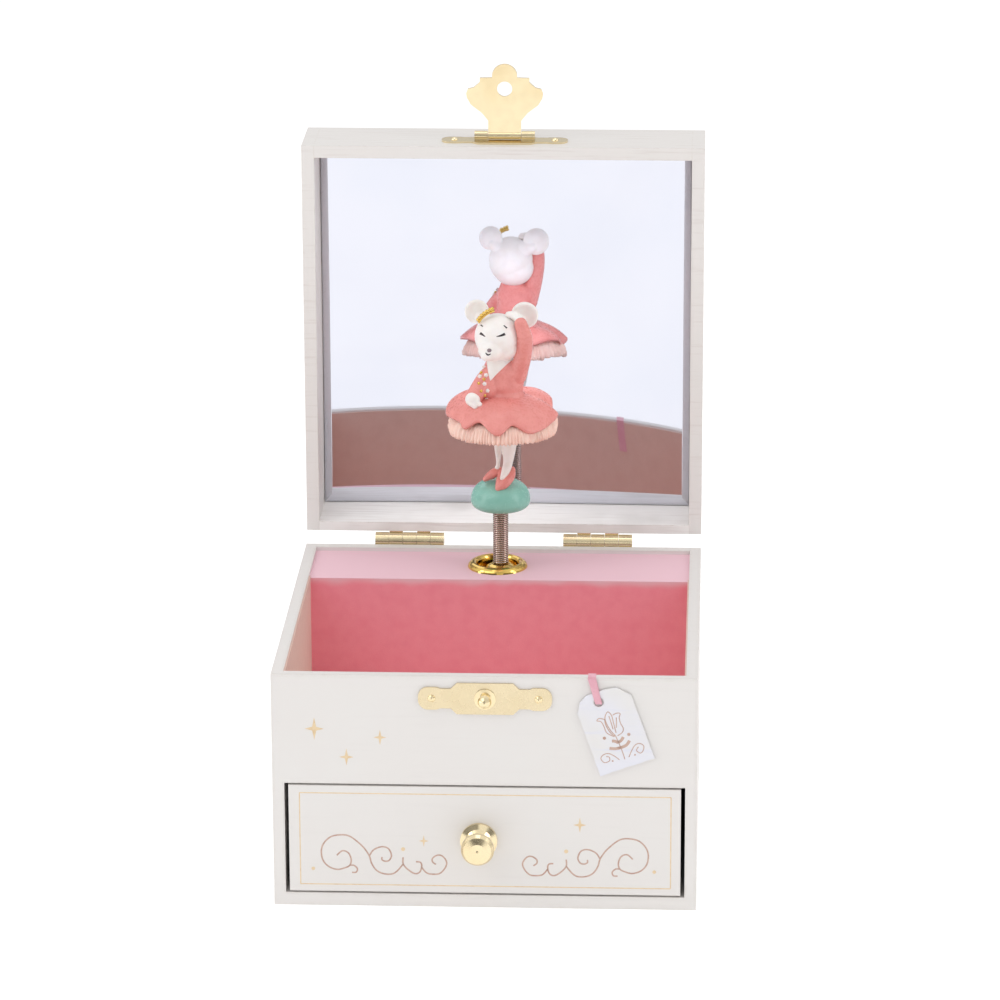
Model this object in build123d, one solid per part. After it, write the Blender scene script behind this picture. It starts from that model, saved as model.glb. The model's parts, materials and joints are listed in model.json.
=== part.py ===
from build123d import *
import math
import os

# Musical ballerina jewellery box.  Millimetres, +Z up, +X to the right seen from the front.
# The origin is the middle of the flat underside of the box; the front face is at y = -DEPTH / 2.
# The rest pose is the box as it is displayed: lid open, drawer shut, hasp standing up,
# dancer upright on the spring.

# ---------------------------------------------------------------- driving dimensions
WIDTH = 112.0
DEPTH = 112.0
BODY_HEIGHT = 64.8
HALF_W = WIDTH / 2
HALF_D = DEPTH / 2

BOTTOM_BOARD = 3.5
SIDE_BOARD = 3.1
FRONT_BOARD = 2.8
BACK_BOARD = 3.3
LINING = 0.4
INNER_X = HALF_W - SIDE_BOARD
INNER_FRONT = -HALF_D + FRONT_BOARD
INNER_BACK = HALF_D - BACK_BOARD

DRAWER_OPENING_TOP = 34.5
TRAY_FLOOR_Z = 33.9
TRAY_FLOOR_BOARD = 1.8
SCREEN_Y = 28.0
SCREEN_BOARD = 2.0
SHELF_TOP = BODY_HEIGHT - 1.0
SHELF_BOARD = 1.2

# Lid, drawn open: its rim faces the front and its outside panel faces the back.
HINGE_Z = BODY_HEIGHT + 0.2
HINGE_BACK = 2.9
HINGE_Y = HALF_D + HINGE_BACK
LID_DEPTH = 22.5
LID_PANEL = 2.0
LID_SIDE = 3.5
LID_HINGE_RIM = 2.6
LID_LOW = HINGE_Z + HINGE_BACK
LID_HIGH = LID_LOW + DEPTH
LID_BACK = HINGE_Y + LID_DEPTH
MIRROR = 1.0
MIRROR_GAP = 0.2

# Butt hinges on the back of the box.
HINGE_LENGTH = 19.6
HINGE_X = 26.7
KNUCKLES = 5
KNUCKLE_R = 2.45
PIN_R = 0.8
PIN_CLEARANCE = 0.06
LEAF = 0.6
LEAF_START = 3.2
LEAF_HEIGHT = 10.0
KNUCKLE_GAP = 0.12
NAIL_R = 0.6
NAIL_FIT = 0.01

# Catch and hasp, on the middle line of the hardware.
CATCH_X = 0.3
PLATE = 0.5
HASP_Y = 66.0
HASP_PIVOT_LIFT = 1.6
HASP_HOLE_REACH = 13.3
HASP_HOLE_R = 2.1
HASP_SHEET = 0.7
TAB_R = 3.5
TAB_REACH = 16.8
HASP_KNUCKLE_R = 1.35
HASP_CURL_R = 1.0
HASP_PIN_R = 0.5
HASP_CURL_HALF = 4.6
HASP_BARREL_HALF = 8.4
PLATE_NAIL_X = 14.05
BALL_R = 1.8
CATCH_Z = HINGE_Z + (HASP_Y - HINGE_Y) - HASP_HOLE_REACH

# Drawer.
DRAWER_HALF_W = 51.8
DRAWER_LOW = 4.05
DRAWER_HIGH = 33.9
DRAWER_FRONT = 3.0
DRAWER_BOARD = 2.0
DRAWER_FLOOR_Z = 3.6
DRAWER_BOX_HALF_W = 51.4
DRAWER_BOX_BACK = 26.6
DRAWER_BOX_HIGH = 31.5
KNOB_X = -1.5
KNOB_Z = 19.0
KNOB_REACH = 8.6
SCREW_R = 1.5

# Spindle line of the dancer and of the music cylinder.
SPINDLE_X = 0.0
SPINDLE_Y = 40.6
RING_X = -0.9
RING_R = 8.4
RING_HOLE_R = 5.7
RING_LIFT = 1.5
SPRING_R = 2.25
SPRING_LOW = 64.6
SOCKET_R = 4.4
DOME_LOW = 81.2
DOME_HIGH = 89.2
DOME_R = 8.3
SKIRT_OFFSET = 0.4

# Music movement.
GEAR_MODULE = 0.8
FINE_MODULE = 0.5
CROWN_TEETH = 27
CROWN_PINION_TEETH = 8
WHEEL_TEETH = 36
IDLER_PINION_TEETH = 12
IDLER_WHEEL_TEETH = 30
FLY_PINION_TEETH = 10
ARBOR_R = 1.2
BEARING_CLEARANCE = 0.05
BEDPLATE = 1.5
BEDPLATE_Y = INNER_BACK - BEDPLATE
BARREL_Z = 17.0
BARREL_R = 12.0
DRUM_LOW = 33.2
DRUM_LENGTH = 18.0
DRUM_R = 6.5
NOTES = 18
PIN_HEIGHT = 0.6
LUG = 2.0

# Hang tag.
TAG_HOLE_X = 30.1
TAG_HOLE_Z = 58.4
TAG_TILT = 20.0
RIBBON = 0.15
RIBBON_W = 2.1
RIBBON_TURN_X = 28.3

os.makedirs("parts", exist_ok=True)


def write(name, shape):
    """Write one sub-part as a STEP file named after its node."""
    shape.label = name
    export_step(shape, "parts/" + name + ".step")


def block(x0, x1, y0, y1, z0, z1):
    """A box given by its limits on each axis."""
    size = Box(x1 - x0, y1 - y0, z1 - z0)
    return Pos((x0 + x1) / 2, (y0 + y1) / 2, (z0 + z1) / 2) * size


def rod_z(x, y, z0, z1, radius):
    return Pos(x, y, (z0 + z1) / 2) * Cylinder(radius, z1 - z0)


def rod_y(x, z, y0, y1, radius):
    return Pos(x, (y0 + y1) / 2, z) * Rot(90, 0, 0) * Cylinder(radius, y1 - y0)


def rod_x(y, z, x0, x1, radius):
    return Pos((x0 + x1) / 2, y, z) * Rot(0, 90, 0) * Cylinder(radius, x1 - x0)


def turned(profile, origin, direction):
    """Revolve (radius, height) points about the line from origin along direction."""
    face = make_face(Polyline(*[(r, 0, h) for r, h in profile], close=True))
    solid = revolve(face, Axis.Z)
    return Plane(origin=origin, z_dir=direction) * solid


# ---------------------------------------------------------------- box carcass
def carcass():
    write("bottom_panel", block(-HALF_W, HALF_W, -HALF_D, HALF_D, 0, BOTTOM_BOARD))
    for name, side in (("side_wall_left", -1), ("side_wall_right", 1)):
        x0, x1 = sorted((side * INNER_X, side * HALF_W))
        wall = block(x0, x1, -HALF_D, HALF_D, BOTTOM_BOARD, BODY_HEIGHT)
        write(name, wall)

    front = block(-INNER_X, INNER_X, -HALF_D, INNER_FRONT, DRAWER_OPENING_TOP, BODY_HEIGHT)
    for x in (-PLATE_NAIL_X, 0, PLATE_NAIL_X):
        front -= rod_y(CATCH_X + x, CATCH_Z, -HALF_D - 1, -HALF_D + 2.0, NAIL_R + NAIL_FIT)
    write("front_wall", front)

    back = block(-INNER_X, INNER_X, INNER_BACK, HALF_D, BOTTOM_BOARD, BODY_HEIGHT)
    for x, z in hinge_nail_places():
        back -= rod_y(x, z, HALF_D - 2.0, HALF_D + 1, NAIL_R + NAIL_FIT)
    for x, z in bedplate_screw_places():
        back -= rod_y(x, z, INNER_BACK - 1, HALF_D + 1, SCREW_R + 0.1)
    back -= rod_y(SPINDLE_X, BARREL_Z, INNER_BACK - 1, HALF_D + 1, 3.0)
    write("back_wall", back)

    floor_top = TRAY_FLOOR_Z + TRAY_FLOOR_BOARD
    write("tray_floor", block(-INNER_X, INNER_X, INNER_FRONT, SCREEN_Y, TRAY_FLOOR_Z, floor_top))
    shelf_low = SHELF_TOP - SHELF_BOARD
    screen_back = SCREEN_Y + SCREEN_BOARD
    write("movement_screen", block(-INNER_X, INNER_X, SCREEN_Y, screen_back, BOTTOM_BOARD, shelf_low))
    shelf = block(-INNER_X, INNER_X, SCREEN_Y, INNER_BACK, shelf_low, SHELF_TOP)
    shelf -= rod_z(RING_X, SPINDLE_Y, shelf_low - 1, SHELF_TOP + 1, RING_HOLE_R + 0.6)
    write("movement_shelf", shelf)


def tray_linings():
    """One velvet sheet on the tray floor and one velvet strip round its three walls."""
    floor_top = TRAY_FLOOR_Z + TRAY_FLOOR_BOARD
    low = floor_top + LINING
    high = BODY_HEIGHT - 0.4
    write("tray_lining_floor", block(-INNER_X, INNER_X, INNER_FRONT, SCREEN_Y, floor_top, low))
    strip = block(-INNER_X, INNER_X, INNER_FRONT, SCREEN_Y, low, high)
    inner_x = INNER_X - LINING
    strip -= block(-inner_x, inner_x, INNER_FRONT + LINING, SCREEN_Y + 1, low - 1, high + 1)
    write("tray_lining_walls", strip)


def spindle_ring():
    """Turned brass ring pressed into the shelf; its flange sits on top."""
    low = SHELF_TOP - SHELF_BOARD - 0.8
    neck = RING_HOLE_R + 0.55
    profile = [(RING_HOLE_R, low), (neck, low), (neck, SHELF_TOP)]
    # The flange is rounded like an eyelet, higher towards the hole.
    crest = (RING_R + RING_HOLE_R) / 2
    half = (RING_R - RING_HOLE_R) / 2
    for step in range(9):
        angle = step * math.pi / 8
        lift = RING_LIFT * math.sin(angle) * (1 - 0.25 * math.cos(angle))
        profile.append((crest + half * math.cos(angle), SHELF_TOP + lift))
    write("spindle_ring", turned(profile, (RING_X, SPINDLE_Y, 0), (0, 0, 1)))


# ---------------------------------------------------------------- lid
def lid():
    back = LID_BACK - LID_PANEL
    panel = block(-HALF_W, HALF_W, back, LID_BACK, LID_LOW, LID_HIGH)
    write("lid_panel", panel)
    for name, side in (("lid_side_left", -1), ("lid_side_right", 1)):
        x0, x1 = sorted((side * (HALF_W - LID_SIDE), side * HALF_W))
        write(name, block(x0, x1, HINGE_Y, back, LID_LOW, LID_HIGH))
    inner = HALF_W - LID_SIDE
    front = block(-inner, inner, HINGE_Y, back, LID_HIGH - LID_SIDE, LID_HIGH)
    for x in (-PLATE_NAIL_X, PLATE_NAIL_X):
        front -= rod_z(CATCH_X + x, HASP_Y, LID_HIGH - 2.0, LID_HIGH + 1, NAIL_R + NAIL_FIT)
    write("lid_front_rim", front)
    hinge_rim = block(-inner, inner, HINGE_Y, back, LID_LOW, LID_LOW + LID_HINGE_RIM)
    for x, reach in hinge_nail_offsets():
        hinge_rim -= rod_z(x, HINGE_Y + reach, LID_LOW - 1, LID_LOW + 2.0, NAIL_R + NAIL_FIT)
    write("lid_hinge_rim", hinge_rim)
    glass = block(
        -inner + MIRROR_GAP,
        inner - MIRROR_GAP,
        back - MIRROR,
        back,
        LID_LOW + LID_HINGE_RIM + MIRROR_GAP,
        LID_HIGH - LID_SIDE - MIRROR_GAP,
    )
    write("mirror", glass)


# ---------------------------------------------------------------- hinges
def hinge_nail_offsets():
    """(x, distance from the hinge line) of the two nails in each leaf."""
    reach = LEAF_START + LEAF_HEIGHT / 2
    places = []
    for centre in (-HINGE_X, HINGE_X):
        for x in (-HINGE_LENGTH / 3, HINGE_LENGTH / 3):
            places.append((centre + x, reach))
    return places


def hinge_nail_places():
    return [(x, HINGE_Z - reach) for x, reach in hinge_nail_offsets()]


def hinge_leaf(centre, of_lid):
    """A rolled leaf lying below the hinge line on the back wall, or its partner on the lid."""
    pitch = HINGE_LENGTH / KNUCKLES
    x_low = centre - HINGE_LENGTH / 2
    x_high = centre + HINGE_LENGTH / 2
    outer_y = HALF_D + LEAF
    leaf_top = HINGE_Z - LEAF_START
    plate = block(x_low, x_high, HALF_D, outer_y, leaf_top - LEAF_HEIGHT, leaf_top)
    for x, reach in hinge_nail_offsets():
        plate -= rod_y(x, HINGE_Z - reach, HALF_D - 1, outer_y + 1, NAIL_R + NAIL_FIT)
    leaf = plate
    for i in range(KNUCKLES):
        if (i % 2 == 1) != of_lid:
            continue
        x0 = x_low + i * pitch + KNUCKLE_GAP / 2
        x1 = x_low + (i + 1) * pitch - KNUCKLE_GAP / 2
        leaf += rod_x(HINGE_Y, HINGE_Z, x0, x1, KNUCKLE_R)
        leaf += block(x0, x1, HALF_D, outer_y, HINGE_Z - LEAF_START, HINGE_Z - 0.3)
    bore = PIN_R + (PIN_CLEARANCE if of_lid else 0.0)
    leaf -= rod_x(HINGE_Y, HINGE_Z, x_low - 1, x_high + 1, bore)
    if of_lid:
        # Drawn like the lower leaf, then mirrored through the closed seam and opened.
        leaf = leaf.mirror(Plane(origin=(0, 0, HINGE_Z), z_dir=(0, 0, 1)))
        leaf = leaf.rotate(Axis((0, HINGE_Y, HINGE_Z), (1, 0, 0)), -90)
    return leaf


def nails(places, direction):
    """Round-headed nails; each place is where a nail goes through the face of its plate or leaf."""
    dome = [(0, 0.6), (0.55, 0.5), (0.95, 0.2), (1.05, 0), (NAIL_R, 0), (NAIL_R, -2.0), (0, -2.0)]
    return [turned(dome, place, direction) for place in places]


def all_nails():
    """The catch and lower hinge leaves are nailed to the case, the rest to the lid."""
    sides = (-PLATE_NAIL_X, PLATE_NAIL_X)
    catch_heads = [(CATCH_X + x, -HALF_D - PLATE, CATCH_Z) for x in sides]
    leaf_heads = [(x, HALF_D + LEAF, z) for x, z in hinge_nail_places()]
    write("case_nails", Compound(children=nails(catch_heads, (0, -1, 0)) + nails(leaf_heads, (0, 1, 0))))
    hasp_heads = [(CATCH_X + x, HASP_Y, LID_HIGH + PLATE) for x in sides]
    lid_heads = [(x, HINGE_Y + reach, LID_LOW - LEAF) for x, reach in hinge_nail_offsets()]
    write("lid_nails", Compound(children=nails(hasp_heads, (0, 0, 1)) + nails(lid_heads, (0, 0, -1))))


def hinges():
    for side, centre in (("left", -HINGE_X), ("right", HINGE_X)):
        write("hinge_case_leaf_" + side, hinge_leaf(centre, False))
        write("hinge_lid_leaf_" + side, hinge_leaf(centre, True))
    pins = []
    for centre in (-HINGE_X, HINGE_X):
        ends = centre - HINGE_LENGTH / 2, centre + HINGE_LENGTH / 2
        pins.append(rod_x(HINGE_Y, HINGE_Z, ends[0], ends[1], PIN_R))
    write("hinge_pins", Compound(children=pins))


# ---------------------------------------------------------------- catch and hasp
def plate_outline():
    """Escutcheon: a chamfered centre, two necks and two rounded end lobes."""
    centre = Rectangle(18.0, 8.6)
    centre = chamfer(centre.vertices(), 1.6)
    outline = centre + Rectangle(26.0, 5.4)
    for side in (-1, 1):
        lobe = Pos(side * PLATE_NAIL_X, 0) * RectangleRounded(7.0, 6.2, 2.6)
        outline += lobe
    return outline


def catch():
    front = -HALF_D - PLATE
    plane = Plane(origin=(CATCH_X, -HALF_D, CATCH_Z), x_dir=(1, 0, 0), z_dir=(0, -1, 0))
    plate = extrude(plane * plate_outline(), PLATE)
    for x in (-PLATE_NAIL_X, 0, PLATE_NAIL_X):
        plate -= rod_y(CATCH_X + x, CATCH_Z, front - 1, -HALF_D + 1, NAIL_R + NAIL_FIT)
    write("catch_plate", plate)
    ball = [
        (0, -1.9),
        (NAIL_R, -1.9),
        (NAIL_R, 0),
        (2.8, 0),
        (2.8, 0.3),
        (1.3, 0.5),
        (1.0, 1.1),
        (BALL_R * 0.8, 1.6),
        (BALL_R, 2.4),
        (BALL_R * 0.8, 3.2),
        (BALL_R * 0.4, 3.75),
        (0, 3.9),
    ]
    write("catch_stud", turned(ball, (CATCH_X, front, CATCH_Z), (0, -1, 0)))


def hasp_outline():
    """Half widths against distance from the pivot, both sides of a shield with a thumb tab."""
    half = [
        (HASP_CURL_HALF, 0.0),
        (HASP_CURL_HALF, 4.3),
        (6.4, 6.5),
        (9.4, 8.8),
        (10.5, 10.7),
        (10.7, 12.0),
        (10.2, 13.3),
        (8.6, 13.7),
        (6.9, 15.2),
        (6.9, 16.4),
        (TAB_R, 16.5),
        (TAB_R, TAB_REACH),
    ]
    right = list(half)
    left = [(-x, w) for x, w in reversed(half)]
    return make_face(Polyline(*(right + left), close=True))


def hasp():
    pivot_z = LID_HIGH + HASP_PIVOT_LIFT
    flat = Plane(origin=(CATCH_X, HASP_Y, LID_HIGH), x_dir=(1, 0, 0), z_dir=(0, 0, 1))
    base = extrude(flat * plate_outline(), PLATE)
    for side in (-1, 1):
        x0 = CATCH_X + side * (HASP_CURL_HALF + 0.15)
        x1 = CATCH_X + side * HASP_BARREL_HALF
        x0, x1 = sorted((x0, x1))
        base += rod_x(HASP_Y, pivot_z, x0, x1, HASP_KNUCKLE_R)
        base += block(x0, x1, HASP_Y - 1.2, HASP_Y + 1.2, LID_HIGH, pivot_z - 0.6)
    base -= rod_x(HASP_Y, pivot_z, CATCH_X - 10, CATCH_X + 10, HASP_PIN_R)
    for x in (-PLATE_NAIL_X, PLATE_NAIL_X):
        base -= rod_z(CATCH_X + x, HASP_Y, LID_HIGH - 1, LID_HIGH + 1, NAIL_R + NAIL_FIT)
    write("hasp_base", base)

    ends = CATCH_X - HASP_BARREL_HALF, CATCH_X + HASP_BARREL_HALF
    write("hasp_pin", rod_x(HASP_Y, pivot_z, ends[0], ends[1], HASP_PIN_R))

    sheet_back = (CATCH_X, HASP_Y + HASP_SHEET / 2, pivot_z)
    upright = Plane(origin=sheet_back, x_dir=(1, 0, 0), z_dir=(0, -1, 0))
    flap = extrude(upright * hasp_outline(), HASP_SHEET)
    flap += rod_x(HASP_Y, pivot_z, CATCH_X - HASP_CURL_HALF, CATCH_X + HASP_CURL_HALF, HASP_CURL_R)
    # The thumb tab is round, with a lip rolled back along its upper edge.
    tab_z = pivot_z + TAB_REACH
    flap += Pos(CATCH_X, HASP_Y, tab_z) * Rot(90, 0, 0) * Cylinder(TAB_R, HASP_SHEET)
    lip = Pos(CATCH_X, HASP_Y + 0.2, tab_z) * Rot(90, 0, 0) * Torus(TAB_R - 0.5, 0.55)
    lip -= block(CATCH_X - 5, CATCH_X + 5, HASP_Y - 2, HASP_Y + 2, tab_z - 5, tab_z + 0.6)
    flap += lip
    flap -= rod_y(CATCH_X, pivot_z + HASP_HOLE_REACH, HASP_Y - 2, HASP_Y + 2, HASP_HOLE_R)
    flap -= rod_x(HASP_Y, pivot_z, CATCH_X - 10, CATCH_X + 10, HASP_PIN_R + PIN_CLEARANCE)
    write("hasp_flap", flap)


# ---------------------------------------------------------------- drawer
def drawer():
    front_back = -HALF_D + DRAWER_FRONT
    front = block(-DRAWER_HALF_W, DRAWER_HALF_W, -HALF_D, front_back, DRAWER_LOW, DRAWER_HIGH)
    front -= rod_y(KNOB_X, KNOB_Z, -HALF_D - 1, front_back + 1, SCREW_R + 0.1)
    write("drawer_front", front)
    inner = DRAWER_BOX_HALF_W - DRAWER_BOARD
    for name, side in (("drawer_side_left", -1), ("drawer_side_right", 1)):
        x0, x1 = sorted((side * inner, side * DRAWER_BOX_HALF_W))
        write(name, block(x0, x1, front_back, DRAWER_BOX_BACK, DRAWER_FLOOR_Z, DRAWER_BOX_HIGH))
    rear = DRAWER_BOX_BACK - DRAWER_BOARD
    write("drawer_back", block(-inner, inner, rear, DRAWER_BOX_BACK, DRAWER_FLOOR_Z, DRAWER_BOX_HIGH))
    floor_top = DRAWER_FLOOR_Z + DRAWER_BOARD
    write("drawer_bottom", block(-inner, inner, front_back, rear, DRAWER_FLOOR_Z, floor_top))
    write("drawer_lining", block(-inner, inner, front_back, rear, floor_top, floor_top + LINING))

    knob = [
        (0, 0),
        (4.9, 0),
        (4.9, 0.9),
        (3.6, 1.5),
        (2.6, 2.6),
        (2.5, 4.0),
        (3.3, 5.4),
        (4.35, 6.2),
        (4.35, 7.2),
        (3.7, 8.1),
        (2.0, 8.5),
        (0, KNOB_REACH),
    ]
    body = turned(knob, (KNOB_X, -HALF_D, KNOB_Z), (0, -1, 0))
    body -= rod_y(KNOB_X, KNOB_Z, -HALF_D - 4.5, -HALF_D + 1, SCREW_R)
    write("drawer_knob", body)
    head = [
        (0, -(DRAWER_FRONT + 4.5)),
        (SCREW_R, -(DRAWER_FRONT + 4.5)),
        (SCREW_R, 0),
        (3.0, 0),
        (3.0, 1.0),
        (1.8, 1.7),
        (0, 1.7),
    ]
    screw = turned(head, (KNOB_X, front_back, KNOB_Z), (0, 1, 0))
    slot_y = front_back + 1.4
    screw -= block(KNOB_X - 3, KNOB_X + 3, slot_y, slot_y + 2, KNOB_Z - 0.4, KNOB_Z + 0.4)
    write("knob_screw", screw)


# ---------------------------------------------------------------- hang tag
def tag_plane(y):
    """Plane of the tag, with its own x along the tilted lower edge."""
    tilt = math.radians(TAG_TILT)
    across = (math.cos(tilt), 0, math.sin(tilt))
    return Plane(origin=(TAG_HOLE_X, y, TAG_HOLE_Z), x_dir=across, z_dir=(0, -1, 0))


# Card corners about the ribbon hole, before the card is tilted.
CARD_OUTLINE = [
    (-6.6, -19.6),
    (8.6, -19.6),
    (8.7, -0.9),
    (5.8, 2.2),
    (2.9, 2.8),
    (-2.6, 2.7),
    (-4.8, 1.4),
    (-6.4, -1.2),
]


def tag():
    card_back = -HALF_D - 0.25
    card = make_face(Polyline(*CARD_OUTLINE, close=True))
    solid = extrude(tag_plane(card_back) * card, 0.4)
    solid -= rod_y(TAG_HOLE_X, TAG_HOLE_Z, -HALF_D - 3, -HALF_D, 1.3)
    write("tag_card", solid)

    # Folded ribbon: one strand behind the card, one in front, joined through the hole.
    half = RIBBON_W / 2
    front = -HALF_D - 0.9
    strand = [
        (RIBBON_TURN_X - half, BODY_HEIGHT),
        (TAG_HOLE_X - 0.9, TAG_HOLE_Z - 0.5),
        (TAG_HOLE_X + 0.9, TAG_HOLE_Z - 0.5),
        (RIBBON_TURN_X + half, BODY_HEIGHT),
    ]
    wire = Polyline(*[(x, 0, z) for x, z in strand], close=True)
    face = make_face(wire)
    back_strand = extrude(Pos(0, -HALF_D, 0) * face, RIBBON, dir=(0, -1, 0))
    front_strand = extrude(Pos(0, front + RIBBON, 0) * face, RIBBON, dir=(0, -1, 0))
    link = block(TAG_HOLE_X - 0.8, TAG_HOLE_X + 0.8, front, -HALF_D, TAG_HOLE_Z - 0.5, TAG_HOLE_Z - 0.2)
    x0, x1 = RIBBON_TURN_X - half, RIBBON_TURN_X + half
    top = block(x0, x1, front, -HALF_D, BODY_HEIGHT - RIBBON, BODY_HEIGHT)
    write("tag_ribbon_loop", back_strand + front_strand + link + top)

    lined_wall = INNER_FRONT + LINING
    over = block(x0, x1, -HALF_D, lined_wall + RIBBON, BODY_HEIGHT, BODY_HEIGHT + RIBBON)
    down = block(x0, x1, lined_wall, lined_wall + RIBBON, BODY_HEIGHT - 7.0, BODY_HEIGHT)
    write("tag_ribbon_anchor", over + down)


# ---------------------------------------------------------------- music movement
def gear(teeth, module, z0, z1, bore=0.0, share=0.36, phase=0.0):
    """Spur wheel about Z with straight-sided teeth; share is the tooth width over the pitch."""
    pitch_r = teeth * module / 2
    tip_r = pitch_r + 0.8 * module
    root_r = pitch_r - 1.1 * module
    step = 2 * math.pi / teeth
    points = []
    for i in range(teeth):
        mid = phase + i * step
        for radius, part in ((root_r, -1.35), (tip_r, -0.55), (tip_r, 0.55), (root_r, 1.35)):
            angle = mid + part * share * step / 2
            points.append((radius * math.cos(angle), radius * math.sin(angle)))
    wheel = extrude(make_face(Polyline(*points, close=True)), z1 - z0)
    wheel = Pos(0, 0, z0) * wheel
    if bore:
        wheel -= rod_z(0, 0, z0 - 1, z1 + 1, bore)
    return wheel


def bedplate_screw_places():
    return [(-22.0, 30.0), (20.0, 12.0), (10.5, 46.0)]


def idler_x():
    reach = FINE_MODULE * (WHEEL_TEETH + IDLER_PINION_TEETH) / 2 + 0.06
    return SPINDLE_X - reach


def fly_x():
    return idler_x() - FINE_MODULE * (IDLER_WHEEL_TEETH + FLY_PINION_TEETH) / 2 - 0.06


WHEEL_Z = DRUM_LOW + DRUM_LENGTH + 0.3
TOP_LUG_Z = 55.0
LOW_LUG_Z = 30.6
PINION_LOW = 26.4
COMB_X = SPINDLE_X + DRUM_R + PIN_HEIGHT + 0.25


def movement_frame():
    """Cast bedplate with bearing lugs for the cylinder and for the governor train."""
    plate = block(-27.0, 24.0, BEDPLATE_Y, INNER_BACK, 6.0, 58.0)
    hole = ARBOR_R + BEARING_CLEARANCE
    for z in (LOW_LUG_Z, TOP_LUG_Z):
        lug = block(SPINDLE_X - 3.2, SPINDLE_X + 3.2, SPINDLE_Y, BEDPLATE_Y, z, z + LUG)
        lug += rod_z(SPINDLE_X, SPINDLE_Y, z, z + LUG, 3.2)
        plate += lug
    for z in (LOW_LUG_Z + 10.0, TOP_LUG_Z):
        for x in (idler_x(), fly_x()):
            lug = block(x - 2.0, x + 2.0, SPINDLE_Y, BEDPLATE_Y, z, z + LUG)
            lug += rod_z(x, SPINDLE_Y, z, z + LUG, 2.0)
            plate += lug
            plate -= rod_z(x, SPINDLE_Y, z - 1, z + LUG + 1, 0.75 + BEARING_CLEARANCE)
        plate -= rod_z(SPINDLE_X, SPINDLE_Y, z - 1, z + LUG + 1, hole)
    plate -= rod_z(SPINDLE_X, SPINDLE_Y, LOW_LUG_Z - 1, LOW_LUG_Z + LUG + 1, hole)
    # Comb block, level with the comb's back.
    comb_low, comb_high = DRUM_LOW - 0.5, DRUM_LOW + 18.5
    plate += block(COMB_X + 9.0, COMB_X + 15.0, SPINDLE_Y + 0.5, BEDPLATE_Y, comb_low, comb_high)
    plate -= rod_y(SPINDLE_X, BARREL_Z, BEDPLATE_Y - 1, INNER_BACK + 1, 2.0 + BEARING_CLEARANCE)
    for x, z in bedplate_screw_places():
        plate -= rod_y(x, z, BEDPLATE_Y - 1, INNER_BACK + 1, SCREW_R)
    for z in comb_screw_heights():
        plate -= rod_y(COMB_X + 12.0, z, SPINDLE_Y, SPINDLE_Y + 5.0, 0.8)
    write("movement_bedplate", plate)

    heads = []
    end = -(BACK_BOARD + BEDPLATE)
    shape = [(0, 1.4), (2.0, 1.2), (2.9, 0), (SCREW_R, 0), (SCREW_R, end), (0, end)]
    for x, z in bedplate_screw_places():
        head = turned(shape, (x, HALF_D, z), (0, 1, 0))
        head -= block(x - 3, x + 3, HALF_D + 0.9, HALF_D + 3, z - 0.35, z + 0.35)
        heads.append(head)
    write("movement_screws", Compound(children=heads))


def comb_screw_heights():
    return [DRUM_LOW + 3.0, DRUM_LOW + 15.0]


def comb():
    """Tuned steel comb: one tooth per note, tips just clear of the pins at rest."""
    low = DRUM_LOW
    plate = block(COMB_X, COMB_X + 15.0, SPINDLE_Y - 0.5, SPINDLE_Y + 0.5, low, low + NOTES)
    for i in range(1, NOTES):
        z = low + i
        end = COMB_X + 8.2 - 0.16 * i
        plate -= block(COMB_X - 1, end, SPINDLE_Y - 1, SPINDLE_Y + 1, z - 0.11, z + 0.11)
    for z in comb_screw_heights():
        plate -= rod_y(COMB_X + 12.0, z, SPINDLE_Y - 1, SPINDLE_Y + 1, 0.85)
    write("comb", plate)
    screws = []
    shape = [(0, 1.2), (1.2, 1.1), (1.7, 0.4), (1.7, 0), (0.8, 0), (0.8, -5.0), (0, -5.0)]
    for z in comb_screw_heights():
        screws.append(turned(shape, (COMB_X + 12.0, SPINDLE_Y - 0.5, z), (0, -1, 0)))
    write("comb_screws", Compound(children=screws))


def music_cylinder():
    """Pinned brass cylinder on an upright arbor that also turns the dancer."""
    place = Pos(SPINDLE_X, SPINDLE_Y, 0)
    drum = rod_z(0, 0, DRUM_LOW, DRUM_LOW + DRUM_LENGTH, DRUM_R)
    drum -= rod_z(0, 0, DRUM_LOW - 1, DRUM_LOW + DRUM_LENGTH + 1, ARBOR_R)
    for note in range(NOTES):
        z = DRUM_LOW + note + 0.5
        for k in range(3):
            angle = 17 + 137.5 * note + 111 * k
            pin = Rot(0, 0, angle) * rod_x(0, z, DRUM_R - 0.4, DRUM_R + PIN_HEIGHT, 0.22)
            drum += pin
    write("music_cylinder", place * drum)
    arbor = rod_z(0, 0, PINION_LOW, SPRING_LOW - 4.5, ARBOR_R)
    arbor += gear(CROWN_PINION_TEETH, GEAR_MODULE, PINION_LOW, PINION_LOW + 2.6, ARBOR_R / 2, 0.34)
    write("cylinder_arbor", place * arbor)
    wheel = gear(WHEEL_TEETH, FINE_MODULE, WHEEL_Z, WHEEL_Z + 1.8, ARBOR_R)
    write("cylinder_wheel", place * wheel)
    socket = [
        (ARBOR_R, TOP_LUG_Z + LUG + 0.3),
        (3.2, TOP_LUG_Z + LUG + 0.3),
        (3.2, SPRING_LOW - 3.0),
        (SOCKET_R, SPRING_LOW - 2.6),
        (SOCKET_R, SPRING_LOW - 1.2),
        (SOCKET_R - 0.9, SPRING_LOW - 0.4),
        (2.6, SPRING_LOW),
        (0, SPRING_LOW),
        (0, SPRING_LOW - 4.5),
        (ARBOR_R, SPRING_LOW - 4.5),
    ]
    write("spring_socket", turned(socket, (SPINDLE_X, SPINDLE_Y, 0), (0, 0, 1)))


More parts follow.
